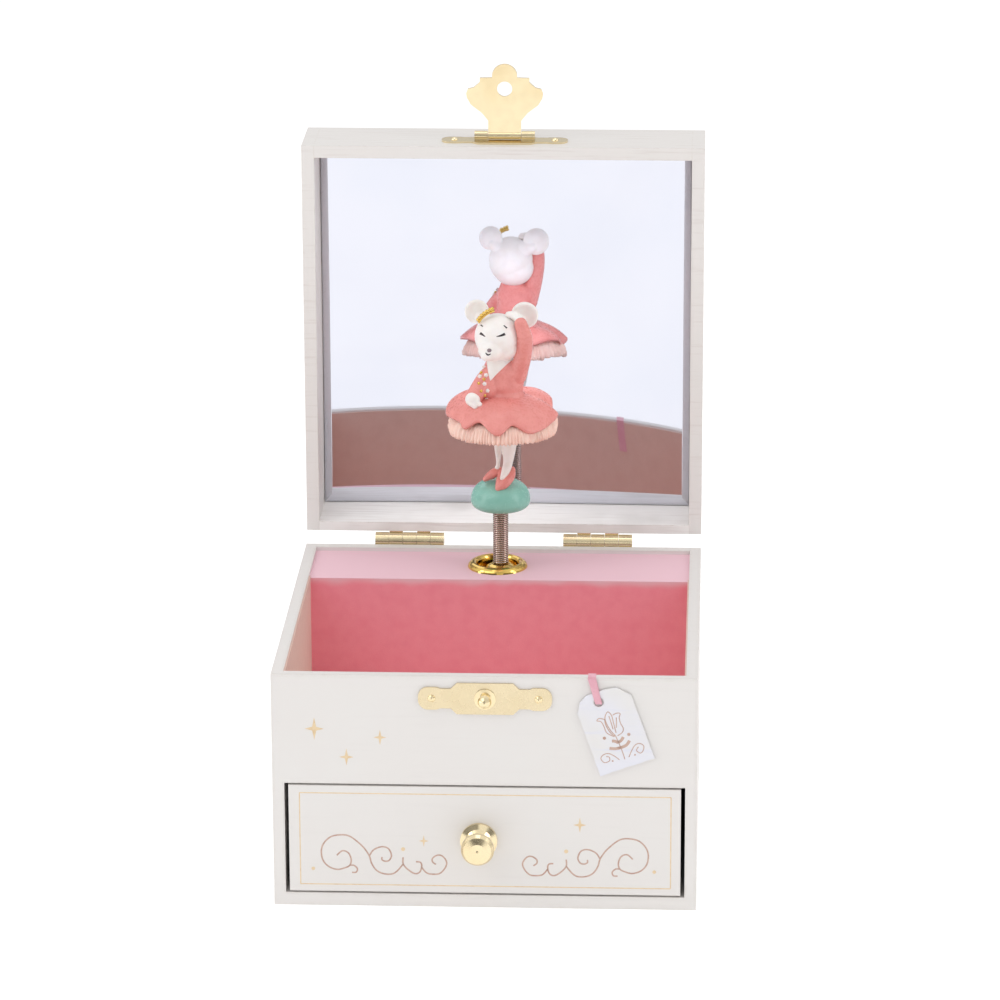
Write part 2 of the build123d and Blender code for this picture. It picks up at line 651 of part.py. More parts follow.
def governor():
    """Idler and air brake that hold the cylinder to a steady speed."""
    x = idler_x()
    pinion = gear(IDLER_PINION_TEETH, FINE_MODULE, WHEEL_Z, WHEEL_Z + 1.8, phase=math.pi / 12)
    low = LOW_LUG_Z + 10.0
    rod = rod_z(0, 0, low - 0.5, TOP_LUG_Z + LUG + 0.5, 0.75)
    wheel_z = WHEEL_Z + 2.1
    wheel = gear(IDLER_WHEEL_TEETH, FINE_MODULE, wheel_z, wheel_z + 1.2)
    write("governor_idler", Pos(x, SPINDLE_Y, 0) * (rod + pinion + wheel))
    x = fly_x()
    pinion = gear(FLY_PINION_TEETH, FINE_MODULE, wheel_z, wheel_z + 1.2, phase=math.pi / 10)
    rod = rod_z(0, 0, low - 0.5, TOP_LUG_Z + LUG + 0.5, 0.75)
    hub_z = wheel_z - 8.0
    fly = rod + pinion + rod_z(0, 0, hub_z, hub_z + 5.0, 1.5)
    fly += block(-4.2, 4.2, -0.4, 0.4, hub_z, hub_z + 5.0)
    write("governor_fly", Pos(x, SPINDLE_Y, 0) * fly)


def mainspring():
    """Spring barrel with crown teeth towards the cylinder pinion, its arbor and the key."""
    pitch_y = SPINDLE_Y + CROWN_PINION_TEETH * GEAR_MODULE / 2 + 0.05
    root_y = pitch_y + 1.1 * GEAR_MODULE
    tip_y = pitch_y - 0.8 * GEAR_MODULE
    barrel = rod_y(0, 0, root_y, BEDPLATE_Y - 0.6, BARREL_R)
    crown_r = CROWN_TEETH * GEAR_MODULE / 2
    step = 360 / CROWN_TEETH
    width = 0.34 * math.pi * GEAR_MODULE
    for i in range(CROWN_TEETH):
        tooth = block(-width / 2, width / 2, tip_y, root_y + 0.2, crown_r - 1.2, crown_r + 1.2)
        tooth = chamfer(tooth.faces().sort_by(Axis.Y)[0].edges().filter_by(Axis.Z), 0.25)
        barrel += Rot(0, (i + 0.5) * step, 0) * tooth
    barrel -= rod_y(0, 0, root_y - 5, BEDPLATE_Y + 1, 2.0 + BEARING_CLEARANCE)
    write("spring_barrel", Pos(SPINDLE_X, 0, BARREL_Z) * barrel)

    key_y = HALF_D + 4.0
    arbor = rod_y(0, 0, root_y - 0.6, key_y + 3.0, 2.0)
    write("winding_arbor", Pos(SPINDLE_X, 0, BARREL_Z) * arbor)
    shank = rod_y(0, 0, key_y, key_y + 7.0, 3.2)
    right_wing = [(2.4, 0), (8.5, 4.2), (8.5, 8.8), (5.5, 10.4), (0, 8.0)]
    left_wing = [(-x, y) for x, y in reversed(right_wing[:-1])]
    # The key's wings lie flat across the arbor line.
    wing = Pos(0, key_y + 4.5) * make_face(Polyline(*right_wing, *left_wing, close=True))
    wing = extrude(wing, 0.8, both=True)
    key = shank + wing
    key -= rod_y(0, 0, key_y - 1, key_y + 3.0, 2.0)
    write("winding_key", Pos(SPINDLE_X, 0, BARREL_Z) * key)


# ---------------------------------------------------------------- dancer
def capsule(start, end, radius):
    """A limb: a round rod between two points with a ball at each end."""
    along = Vector(*end) - Vector(*start)
    plane = Plane(origin=start, z_dir=along)
    rod = plane * (Pos(0, 0, along.length / 2) * Cylinder(radius, along.length))
    return rod + Pos(*start) * Sphere(radius) + Pos(*end) * Sphere(radius)


def dancer():
    """Mouse ballerina on a domed stand carried by a close-wound spring."""
    axis = (SPINDLE_X, SPINDLE_Y, 0)
    column = rod_z(SPINDLE_X, SPINDLE_Y, SPRING_LOW, DOME_LOW, SPRING_R)
    write("column_spring", column)
    dome = [
        (0, DOME_LOW),
        (6.8, DOME_LOW),
        (7.8, DOME_LOW + 0.7),
        (DOME_R, DOME_LOW + 2.6),
        (7.8, DOME_LOW + 4.6),
        (6.0, DOME_LOW + 6.6),
        (3.0, DOME_HIGH - 0.3),
        (0, DOME_HIGH),
    ]
    write("dancer_dome", turned(dome, axis, (0, 0, 1)))

    skirt_axis = (SPINDLE_X + SKIRT_OFFSET, SPINDLE_Y, 0)
    hips_z = 103.0
    legs = capsule((-0.6, 39.0, 90.0), (-0.2, 40.0, hips_z), 1.1)
    legs += capsule((2.6, 38.2, 90.5), (2.4, 40.0, hips_z), 1.4)
    legs -= turned(dome, axis, (0, 0, 1))
    write("dancer_legs", legs)

    petticoat = [(0, 103.0), (13.0, 103.0), (14.8, 104.0), (13.4, 107.0), (0, 107.0)]
    write("dancer_petticoat", turned(petticoat, skirt_axis, (0, 0, 1)) - legs)
    skirt = [(0, 107.0), (13.4, 107.0), (15.4, 108.2), (14.4, 110.6), (8.0, 113.2), (0, 113.2)]
    write("dancer_skirt", turned(skirt, skirt_axis, (0, 0, 1)) - legs)

    head = Pos(0, 39.8, 130.8) * Sphere(6.8)
    trunk = Pos(1.3, SPINDLE_Y - 0.4, 118.4) * Cone(6.0, 4.2, 10.4)
    raised_arm = capsule((6.0, 38.0, 120.5), (6.9, 36.0, 133.5), 2.1)
    lowered_arm = capsule((-3.6, 38.0, 120.5), (-7.2, 35.4, 116.0), 2.0)
    write("dancer_torso", (trunk + raised_arm + lowered_arm) - head)
    left_ear = Pos(-6.3, 40.8, 137.4) * Rot(90, 0, 0) * Cylinder(3.5, 2.2)
    right_ear = Pos(6.4, 40.8, 136.8) * Rot(90, 0, 0) * Cylinder(3.9, 2.2)
    crown = Pos(-3.4, 38.6, 136.6) * Rot(0, -34, 0) * Cylinder(2.3, 1.4)
    write("dancer_head", head + left_ear + right_ear + crown - raised_arm)


carcass()
tray_linings()
spindle_ring()
lid()
hinges()
catch()
hasp()
all_nails()
drawer()
tag()
movement_frame()
comb()
music_cylinder()
governor()
mainspring()
dancer()
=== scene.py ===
import json
import math
import bmesh
import bpy
from mathutils import Matrix, Vector, noise
from mathutils.bvhtree import BVHTree


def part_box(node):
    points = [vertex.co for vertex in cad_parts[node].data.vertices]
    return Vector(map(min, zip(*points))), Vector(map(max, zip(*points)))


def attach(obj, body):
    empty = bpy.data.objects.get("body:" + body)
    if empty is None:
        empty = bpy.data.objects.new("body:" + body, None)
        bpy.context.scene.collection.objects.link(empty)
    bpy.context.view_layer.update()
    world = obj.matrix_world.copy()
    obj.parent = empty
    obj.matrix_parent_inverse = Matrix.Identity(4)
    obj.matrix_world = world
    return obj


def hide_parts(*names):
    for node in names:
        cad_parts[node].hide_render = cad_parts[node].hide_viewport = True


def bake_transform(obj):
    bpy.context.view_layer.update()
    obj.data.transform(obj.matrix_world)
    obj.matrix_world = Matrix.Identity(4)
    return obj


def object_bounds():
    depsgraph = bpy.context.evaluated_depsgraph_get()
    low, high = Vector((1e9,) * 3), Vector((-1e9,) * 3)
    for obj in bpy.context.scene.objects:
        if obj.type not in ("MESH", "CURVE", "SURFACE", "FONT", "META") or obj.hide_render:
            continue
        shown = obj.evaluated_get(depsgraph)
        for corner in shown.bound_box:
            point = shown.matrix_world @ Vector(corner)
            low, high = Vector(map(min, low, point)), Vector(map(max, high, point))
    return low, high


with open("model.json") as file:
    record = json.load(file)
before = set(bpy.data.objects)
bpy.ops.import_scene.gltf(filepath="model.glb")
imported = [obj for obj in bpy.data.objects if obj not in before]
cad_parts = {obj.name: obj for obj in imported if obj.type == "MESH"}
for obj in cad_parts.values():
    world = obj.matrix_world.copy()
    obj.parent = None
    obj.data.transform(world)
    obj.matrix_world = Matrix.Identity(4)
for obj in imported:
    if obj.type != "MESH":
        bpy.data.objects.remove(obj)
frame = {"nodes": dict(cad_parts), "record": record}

# Lengths in this file are millimetres unless a name says otherwise.
MM = 0.001
CAD_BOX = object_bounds()


# ---------------------------------------------------------------- materials
def colour(red, green, blue):
    """Linear colour from display values of 0 to 255."""
    values = []
    for c in (red, green, blue):
        c = c / 255
        values.append(c / 12.92 if c <= 0.04045 else ((c + 0.055) / 1.055) ** 2.4)
    return (*values, 1.0)


class Finish:
    """A principled material whose detail comes from noise in object space, in millimetres."""

    def __init__(self, name, base, roughness=0.5, **sockets):
        self.material = bpy.data.materials.new(name)
        self.material.use_nodes = True
        self.tree = self.material.node_tree
        self.bsdf = self.tree.nodes["Principled BSDF"]
        self.bsdf.inputs["Base Color"].default_value = base
        self.bsdf.inputs["Roughness"].default_value = roughness
        for socket, value in sockets.items():
            self.bsdf.inputs[socket.replace("_", " ")].default_value = value
        self.tint = base

    def node(self, kind, **links):
        made = self.tree.nodes.new("ShaderNode" + kind)
        for socket, value in links.items():
            key = int(socket[1:]) if socket[1:].isdigit() else socket.replace("_", " ")
            self.feed(made.inputs[key], value)
        return made

    def feed(self, socket, value):
        if isinstance(value, bpy.types.NodeSocket):
            self.tree.links.new(value, socket)
        else:
            socket.default_value = value

    def place(self, stretch=(1, 1, 1), turn=(0, 0, 0)):
        """Object coordinates in millimetres, squeezed along some axes."""
        coords = self.node("TexCoord").outputs["Object"]
        scale = [1000 * s for s in stretch]
        return self.node("Mapping", Vector=coords, Rotation=turn, Scale=scale).outputs[0]

    def grain(self, size, stretch=(1, 1, 1), detail=3.0, turn=(0, 0, 0)):
        """Noise with features about size millimetres across."""
        made = self.node("TexNoise", Vector=self.place(stretch, turn), Scale=1 / size, Detail=detail)
        return made.outputs[0]

    def math(self, operation, a, b=0.0, c=0.0):
        made = self.node("Math", i0=a, i1=b, i2=c)
        made.operation = operation
        return made.outputs[0]

    def span(self, value, low, high, to_low=0.0, to_high=1.0):
        """value brought from low..high to another range, smoothly and clamped."""
        made = self.tree.nodes.new("ShaderNodeMapRange")
        made.interpolation_type = "SMOOTHSTEP"
        sockets = ("Value", "From Min", "From Max", "To Min", "To Max")
        for socket, v in zip(sockets, (value, low, high, to_low, to_high)):
            self.feed(made.inputs[socket], v)
        return made.outputs[0]

    def mix(self, factor, a, b):
        made = self.tree.nodes.new("ShaderNodeMix")
        made.data_type = "RGBA"
        self.feed(made.inputs[0], factor)
        self.feed(made.inputs[6], a)
        self.feed(made.inputs[7], b)
        return made.outputs[2]

    def base(self, value):
        self.tint = value
        self.feed(self.bsdf.inputs["Base Color"], value)

    def mottle(self, size, other, low=0.35, high=0.65, **options):
        """Blend patches of another colour into the base."""
        self.base(self.mix(self.span(self.grain(size, **options), low, high), self.tint, other))

    def roughen(self, size, low, high, **options):
        self.feed(self.bsdf.inputs["Roughness"], self.span(self.grain(size, **options), 0.3, 0.7, low, high))

    def bump(self, height, depth, strength=1.0):
        """Relief of depth millimetres, added over any earlier relief."""
        made = self.node("Bump", Height=height, Distance=depth * MM, Strength=strength)
        earlier = self.bsdf.inputs["Normal"].links
        if earlier:
            self.tree.links.new(earlier[0].from_socket, made.inputs["Normal"])
        self.feed(self.bsdf.inputs["Normal"], made.outputs[0])

    def worn_edges(self, worn, radius=0.5, low=0.55, high=0.95):
        """A different colour where the surface turns within radius, broken up by noise."""
        rounded = self.node("Bevel", Radius=radius * MM).outputs[0]
        flat = self.node("NewGeometry").outputs["Normal"]
        close = self.node("VectorMath", i0=rounded, i1=flat)
        close.operation = "DOT_PRODUCT"
        edge = self.span(close.outputs["Value"], 0.99, 0.86)
        edge = self.math("MULTIPLY", edge, self.span(self.grain(2.2), low - 0.25, high - 0.25))
        self.base(self.mix(edge, self.tint, worn))

    def upward(self):
        """How far the surface faces up, 1 on a level top."""
        normal = self.node("NewGeometry").outputs["Normal"]
        return self.node("SeparateXYZ", Vector=normal).outputs[2]


def paper_finish(name, base, streak, streak_size):
    """Pearly printed paper over board: faint fibres, long streaks and slightly grubby edges."""
    f = Finish(name, base, 0.42, Specular_IOR_Level=0.45, Coat_Weight=0.12, Coat_Roughness=0.35)
    f.mottle(26.0, colour(231, 228, 225), 0.45, 0.75)
    f.mottle(streak_size, streak, 0.52, 0.78, stretch=(0.06, 1, 1), detail=5.0)
    f.worn_edges(colour(222, 216, 209))
    f.roughen(1.1, 0.36, 0.5)
    f.bump(f.grain(0.45, detail=4.0), 0.035, 0.5)
    f.bump(f.grain(9.0), 0.05, 0.35)
    return f.material


def velvet_finish(name, base, shade, top=None):
    """Flocked sheet: short fibres, blotches where the pile leans, and a pale bloom at glancing angles. Given
    a top colour, upward faces and a band just under the shelf's top edge are painted in it: painted light
    and sheen on the top.
    """
    f = Finish(name, base, 0.85, Specular_IOR_Level=0.15)
    f.bsdf.inputs["Sheen Weight"].default_value = 0.25
    f.bsdf.inputs["Sheen Roughness"].default_value = 0.4
    f.mottle(3.5, shade, 0.35, 0.75, detail=6.0)
    f.mottle(0.35, shade, 0.45, 0.8, detail=2.0)
    # Painted light: upward faces and the band just under the shelf's top edge take the paler top colour,
    # standing in for the light and sheen the top catches.
    if top:
        height = f.node("SeparateXYZ", Vector=f.place()).outputs[2]
        height = f.math("ADD", height, f.span(f.grain(11.0, detail=1.0), 0.3, 0.7, -0.7, 0.7))
        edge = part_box("movement_shelf")[1].z / MM
        painted_top_light = f.math("MAXIMUM", f.span(f.upward(), 0.25, 0.98), f.span(height, edge - 2.4, edge + 0.8))
        f.base(f.mix(painted_top_light, f.tint, top))
    f.bump(f.grain(0.22, detail=2.0), 0.06, 0.8)
    f.bump(f.grain(4.0), 0.12, 0.4)
    return f.material


def metal_finish(name, base, tarnish, roughness, brush=(1, 1, 1)):
    """Plated sheet or turned metal with fine marks and a little tarnish."""
    f = Finish(name, base, roughness, Metallic=1.0)
    f.mottle(9.0, tarnish, 0.4, 0.9)
    f.roughen(2.5, roughness * 0.85, roughness * 1.2)
    f.bump(f.grain(0.5, stretch=brush), 0.004, 0.12)
    return f.material


def paint_finish(name, base, shade, roughness=0.38, subsurface=0.0):
    """Hand-painted resin: brush variation from patches of a second tone, and a satin coat."""
    f = Finish(name, base, roughness, Specular_IOR_Level=0.4, Coat_Weight=0.15, Coat_Roughness=0.25)
    f.bsdf.inputs["Subsurface Weight"].default_value = subsurface
    f.bsdf.inputs["Subsurface Radius"].default_value = (0.0012, 0.0008, 0.0006)
    f.mottle(3.2, shade, 0.4, 0.75, detail=4.0)
    f.roughen(0.8, roughness * 0.8, roughness * 1.3)
    f.bump(f.grain(0.6, detail=3.0), 0.015, 0.3)
    f.bump(f.grain(2.4), 0.05, 0.3)
    return f.material


def mirror_finish():
    f = Finish("mirror_glass", colour(220, 221, 230), 0.015, Metallic=1.0)
    f.mottle(40.0, colour(217, 219, 229), 0.4, 0.7)
    f.roughen(12.0, 0.008, 0.03)
    return f.material


def floor_finish():
    f = Finish("studio_floor", colour(253, 253, 253), 0.7, Specular_IOR_Level=0.1)
    f.bsdf.inputs["Emission Color"].default_value = (1.0, 1.0, 1.0, 1.0)
    f.bsdf.inputs["Emission Strength"].default_value = 0.22
    f.mottle(60.0, colour(249, 249, 250), 0.4, 0.7)
    return f.material


def printed_finish(name, base, gleam, metallic=0.35):
    """Printed ink with a weak metallic gleam."""
    f = Finish(name, base, 0.4, Metallic=metallic)
    f.mottle(1.6, gleam, 0.4, 0.7, detail=4.0)
    f.bump(f.grain(0.3), 0.01, 0.4)
    return f.material


def make_finishes():
    """Every material by name, in display colours: the main colour, then its shade, streak or tarnish."""
    white = colour(231, 227, 224)
    papers = {
        "white_paper": (white, colour(229, 225, 222), 1.6),
        "lid_paper": (white, colour(222, 216, 212), 0.9),
        # A lighter copy of the white paper, for the foot of the lid: painted light standing in for light the
        # mirror throws onto it.
        "bright_paper": (colour(252, 250, 248), colour(232, 228, 225), 0.9),
        "tag_paper": (colour(230, 230, 239), colour(225, 225, 235), 1.2),
    }
    velvets = {
        # pink_card's pale pink is the same pink fabric as it looks lit on the shelf top: a painted lighter
        # copy, painted light and sheen.
        "pink_card": (colour(240, 200, 210), colour(234, 190, 202)),
        # The third colour of pink_fabric is its painted lighter top: painted light and sheen, since the
        # fabric itself is one colour.
        "pink_fabric": (colour(252, 156, 172), colour(248, 148, 165), colour(243, 202, 213)),
        "dusty_velvet": (colour(230, 200, 188), colour(225, 193, 181)),
        "pink_ribbon": (colour(234, 182, 194), colour(226, 168, 182)),
    }
    metals = {
        "gilt": (colour(240, 223, 184), colour(232, 210, 166), 0.2),
        "plate_gilt": (colour(225, 209, 175), colour(219, 202, 166), 0.26),
        "brass": (colour(232, 198, 112), colour(222, 182, 92), 0.12),
        "spring_steel": (colour(206, 186, 176), colour(186, 166, 156), 0.14),
        "cast_zinc": (colour(170, 172, 176), colour(130, 132, 136), 0.42),
    }
    paints = {
        "turquoise_plastic": (colour(142, 200, 186), colour(134, 193, 178), 0.22),
        "coral_plastic": (colour(234, 150, 143), colour(226, 137, 131), 0.28, 0.05),
        "peach_plastic": (colour(252, 216, 202), colour(246, 202, 188), 0.5, 0.1),
        "cream_plastic": (colour(248, 243, 240), colour(242, 235, 231), 0.36, 0.15),
        "face_ink": (colour(52, 44, 48), colour(70, 58, 60), 0.35),
        "nose_paint": (colour(150, 132, 138), colour(120, 104, 112), 0.3),
    }
    inks = {
        "rose_gold_ink": (colour(200, 170, 156), colour(184, 150, 136)),
        "pale_gold_ink": (colour(230, 207, 170), colour(222, 194, 154)),
    }
    made = {"mirror_glass": mirror_finish()}
    for finish, table in (
        (paper_finish, papers),
        (velvet_finish, velvets),
        (metal_finish, metals),
        (paint_finish, paints),
        (printed_finish, inks),
    ):
        for name, values in table.items():
            made[name] = finish(name, *values)
    return made


FINISH = make_finishes()
SPECIAL = {
    "spindle_ring": "brass",
    "spring_socket": "brass",
    "catch_plate": "plate_gilt",
    # Painted light: the foot of the lid takes the lighter paper copy, for light thrown down by the mirror.
    "lid_hinge_rim": "bright_paper",
    "movement_shelf": "pink_fabric",
    "lid_side_left": "lid_paper",
    "lid_side_right": "lid_paper",
    "lid_front_rim": "lid_paper",
}


def paint_frame():
    """Give every carried-over part its finish, and round its edges a little."""
    shelf_edge = 1.1
    edge = {"white_paper": 0.35, "pink_card": 0.2, "gilt": 0.12, "brass": 0.12, "tag_paper": 0.08}
    for part in frame["record"]["subparts"]:
        board = frame["nodes"][part["node"]]
        slot = part["material_slot"]
        finish = FINISH[SPECIAL.get(part["node"], slot)]
        board.data.materials.clear()
        board.data.materials.append(finish)
        width = shelf_edge if part["node"] == "movement_shelf" else edge.get(slot, 0.0)
        if width:
            soften = board.modifiers.new("soft_edges", "BEVEL")
            soften.width = width * MM
            soften.segments = 3
            soften.limit_method = "ANGLE"
            soften.angle_limit = math.radians(50)
            soften.harden_normals = False


# ---------------------------------------------------------------- mesh tools
def to_metres(points):
    return [Vector(p) * MM for p in points]


def piece(name, verts, faces, body, slot, finish=None, smooth=True):
    """A mesh in millimetres that rides on a body, with the finish of its slot."""
    mesh = bpy.data.meshes.new(name)
    mesh.from_pydata(to_metres(verts), [], faces)
    mesh.validate()
    mesh.shade_smooth() if smooth else mesh.shade_flat()
    made = bpy.data.objects.new(name, mesh)
    bpy.context.scene.collection.objects.link(made)
    mesh.materials.append(FINISH[finish or slot])
    if body:
        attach(made, body)
    return made


def joined(parts):
    """Several (verts, faces) as one."""
    verts, faces = [], []
    for more_verts, more_faces in parts:
        start = len(verts)
        verts.extend(more_verts)
        faces.extend([tuple(i + start for i in face) for face in more_faces])
    return verts, faces


def skin(rings, caps=True):
    """Quads between closed rings of equal length, with the ends capped."""
    count = len(rings[0])
    verts = [p for ring in rings for p in ring]
    faces = []
    for j in range(len(rings) - 1):
        for i in range(count):
            k = (i + 1) % count
            faces.append((j * count + i, j * count + k, (j + 1) * count + k, (j + 1) * count + i))
    if caps:
        faces.append(tuple(reversed(range(count))))
        last = (len(rings) - 1) * count
        faces.append(tuple(range(last, last + count)))
    return verts, faces


def smooth_line(points, steps=8, closed=False):
    """Points of a smooth curve through the given ones."""
    pts = [Vector(p) for p in points]
    n = len(pts)
    line = []
    for i in range(n if closed else n - 1):
        if closed:
            a, b, c, d = (pts[(i + k) % n] for k in (-1, 0, 1, 2))
        else:
            a, b, c, d = (pts[min(max(i + k, 0), n - 1)] for k in (-1, 0, 1, 2))
        for s in range(steps):
            t = s / steps
            spot = 2 * b + (c - a) * t + (2 * a - 5 * b + 4 * c - d) * t * t + (3 * b - a - 3 * c + d) * t**3
            line.append(spot / 2)
    if not closed:
        line.append(pts[-1])
    return line


def limb(points, radii, sides=20, steps=6, flat=1.0):
    """A round form through points, whose radius follows radii, with rounded ends."""
    line = smooth_line([(*p, r) for p, r in zip(points, radii)], steps)
    centres = [Vector(p[:3]) for p in line]
    widths = [p[3] for p in line]
    first = (centres[1] - centres[0]).normalized()
    last = (centres[-1] - centres[-2]).normalized()
    rings = []
    spots = []
    for angle in (80, 55, 30):
        a = math.radians(angle)
        spots.append((centres[0] - first * widths[0] * math.sin(a), first, widths[0] * math.cos(a)))
    for i, centre in enumerate(centres):
        along = (centres[min(i + 1, len(centres) - 1)] - centres[max(i - 1, 0)]).normalized()
        spots.append((centre, along, widths[i]))
    for angle in (30, 55, 80):
        a = math.radians(angle)
        spots.append((centres[-1] + last * widths[-1] * math.sin(a), last, widths[-1] * math.cos(a)))
    side = first.orthogonal().normalized()
    for centre, along, width in spots:
        side = (side - along * side.dot(along)).normalized()
        other = along.cross(side)
        ring = []
        for k in range(sides):
            a = 2 * math.pi * k / sides
            ring.append(centre + (side * math.cos(a) + other * math.sin(a) * flat) * width)
        rings.append(ring)
    return skin(rings)


def ball(centre, radii, turn=(0, 0, 0), levels=4):
    """An ellipsoid with its own tilt, in degrees."""
    made = bmesh.new()
    bmesh.ops.create_icosphere(made, subdivisions=levels, radius=1)
    spin = Matrix.Rotation(math.radians(turn[2]), 4, "Z")
    spin = spin @ Matrix.Rotation(math.radians(turn[1]), 4, "Y")
    spin = spin @ Matrix.Rotation(math.radians(turn[0]), 4, "X")
    shape = Matrix.Translation(centre) @ spin @ Matrix.Diagonal((*radii, 1))
    verts = [shape @ v.co for v in made.verts]
    faces = [tuple(v.index for v in f.verts) for f in made.faces]
    made.free()
    return verts, faces


def sculpted(name, parts, body, slot, voxel=0.22, smoothing=4, finish=None):
    """Overlapping forms fused into one skin and smoothed, like a casting."""
    made = piece(name, *joined(parts), body, slot, finish)
    fuse = made.modifiers.new("fuse", "REMESH")
    fuse.mode = "VOXEL"
    fuse.voxel_size = voxel * MM
    ease = made.modifiers.new("ease", "SMOOTH")
    ease.factor = 0.5
    ease.iterations = smoothing
    settle(made)
    return made


def settle(made):
    """Replace a piece's mesh by the one its modifiers give."""
    depsgraph = bpy.context.evaluated_depsgraph_get()
    depsgraph.update()
    final = bpy.data.meshes.new_from_object(made.evaluated_get(depsgraph))
    made.modifiers.clear()
    made.data = final
    final.shade_smooth()


def lathe(profile, centre=(0, 0), sides=96):
    """Turned form from (radius, height) points about an upright line."""
    rings = []
    for radius, height in profile:
        ring = []
        for k in range(sides):
            a = 2 * math.pi * k / sides
            ring.append((centre[0] + radius * math.cos(a), centre[1] + radius * math.sin(a), height))
        rings.append(ring)
    return skin(rings)


# ---------------------------------------------------------------- dancer
# Figure coordinates: x and y from the spindle line, height from ankle level just above the dome.
low_corner, high_corner = (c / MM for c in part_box("dancer_dome"))
AXIS = (low_corner + high_corner) / 2
DOME_LOW = low_corner.z
ANKLE = high_corner.z + 0.8
TO_VIEWER = Vector((math.sin(math.radians(2.7)), -math.cos(math.radians(2.7)), 0.3115))


def spot(x, y, h):
    """A place in figure coordinates."""
    return Vector((AXIS.x + x, AXIS.y + y, ANKLE + h))


def form(points, radii, **options):
    return limb([spot(*p) for p in points], radii, **options)


def lump(centre, radii, turn=(0, 0, 0)):
    return ball(spot(*centre), radii, turn)


def dome():
    profile = [(0.2, 0), (6.1, 0), (7.4, 0.35), (8.15, 1.3), (8.3, 2.4), (8.05, 4.0), (7.2, 5.7), (5.6, 7.0)]
    profile += [(3.2, 7.8), (0.2, 8.0)]
    curve = smooth_line([(r, h + DOME_LOW) for r, h in profile], 6)
    made = piece("dome", *lathe(curve, AXIS), "dancer", "turquoise_plastic")
    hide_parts("dancer_dome")


def legs():
    left = form(
        [(-0.5, -0.2, 15.0), (-0.6, -0.4, 9.0), (-0.6, -0.8, 4.4), (-1.0, -1.0, 2.2)],
        [1.2, 1.15, 0.6, 0.8],
    )
    right = form(
        [(2.4, -0.6, 15.0), (2.4, -0.9, 9.5), (2.2, -1.6, 5.0), (1.7, -3.0, 2.9), (0.8, -4.6, 1.0)],
        [2.2, 2.15, 1.4, 1.25, 0.8],
    )
    made = sculpted("legs", [left, right], "dancer", "cream_plastic", 0.18, 3)
    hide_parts("dancer_legs")
    heel = form([(3.4, -1.0, 2.6), (3.0, -1.2, 0.2)], [0.7, 0.9])
    toe = (-0.5, -5.9, -1.7)
    right_side = form([(3.5, -1.2, 2.3), (3.0, -3.2, 1.0), (1.2, -5.0, -0.6), toe], [0.8, 1.2, 1.4, 0.75])
    left_side = form([(0.3, -1.6, 1.9), (-0.1, -3.4, 0.7), (-0.2, -4.9, -0.6), toe], [0.6, 0.8, 1.0, 0.75])
    sole = form([(2.0, -1.4, 0.5), (1.4, -3.4, -0.3), (-0.3, -5.7, -1.9)], [1.4, 1.7, 0.7])
    rear_shoe = form([(-0.5, -0.6, 2.0), (-2.2, -1.4, 1.1), (-4.2, -1.9, -0.2)], [1.15, 1.35, 0.75])
    forms = [heel, right_side, left_side, sole, rear_shoe]
    sculpted("shoes", forms, "dancer", "coral_plastic", 0.18, 3)


def petticoat():
    """A stiff gathered frill of about ninety small flutes, higher at the back, shut round the legs."""
    centre = spot(0.65, 0, 0)
    sides = 720
    profile = [(2.0, 15.2, 0), (8.0, 14.6, 0.25), (12.6, 14.2, 0.5), (14.3, 13.6, 0.9), (14.95, 13.75, 1.0)]
    profile += [(15.0, 14.6, 1.0), (14.6, 15.9, 0.9), (13.9, 17.2, 0.8), (13.0, 18.4, 0.5), (8.0, 19.0, 0)]
    rings = []
    for radius, h, depth in profile:
        ring = []
        for k in range(sides):
            a = 2 * math.pi * k / sides
            wander = noise.noise(Vector((3 * math.cos(a), 3 * math.sin(a), 5.0)))
            crest = abs(math.sin(44 * a + 5.0 * wander))
            rough = noise.noise(Vector((17 * math.cos(a), 17 * math.sin(a), h)))
            reach = radius + depth * (0.55 * crest - 0.35 + 0.6 * wander + 0.35 * rough)
            drop = depth * (0.35 * wander - 0.32 * crest + 0.45 * rough)
            back = min(max((math.sin(a) + 0.35) / 1.1, 0.0), 1.0)
            h_here = h + drop + 2.8 * back * back * (3 - 2 * back)
            ring.append((centre.x + reach * math.cos(a), centre.y + reach * math.sin(a), centre.z + h_here))
        rings.append(ring)
    made = piece("petticoat", *skin(rings), "dancer", "peach_plastic")
    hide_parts("dancer_petticoat")


# Skirt hem round the figure: degrees from the front, height and radius, one lobe after another.
HEM = [
    (-150, 21.0, 15.0), (-125, 21.4, 15.0), (-107, 20.6, 15.3), (-85, 19.1, 15.5), (-70, 19.2, 15.0),
    (-54, 18.9, 14.1), (-39, 18.0, 15.4), (-24, 20.0, 13.6), (-2, 17.2, 15.7), (15, 19.4, 13.7),
    (32, 17.2, 15.4), (48, 17.3, 15.4), (66, 17.8, 15.1), (85, 18.9, 15.8), (102, 18.7, 14.5),
    (118, 21.0, 15.4), (136, 22.0, 15.2), (157, 21.2, 14.7), (180, 21.2, 15.3),
]


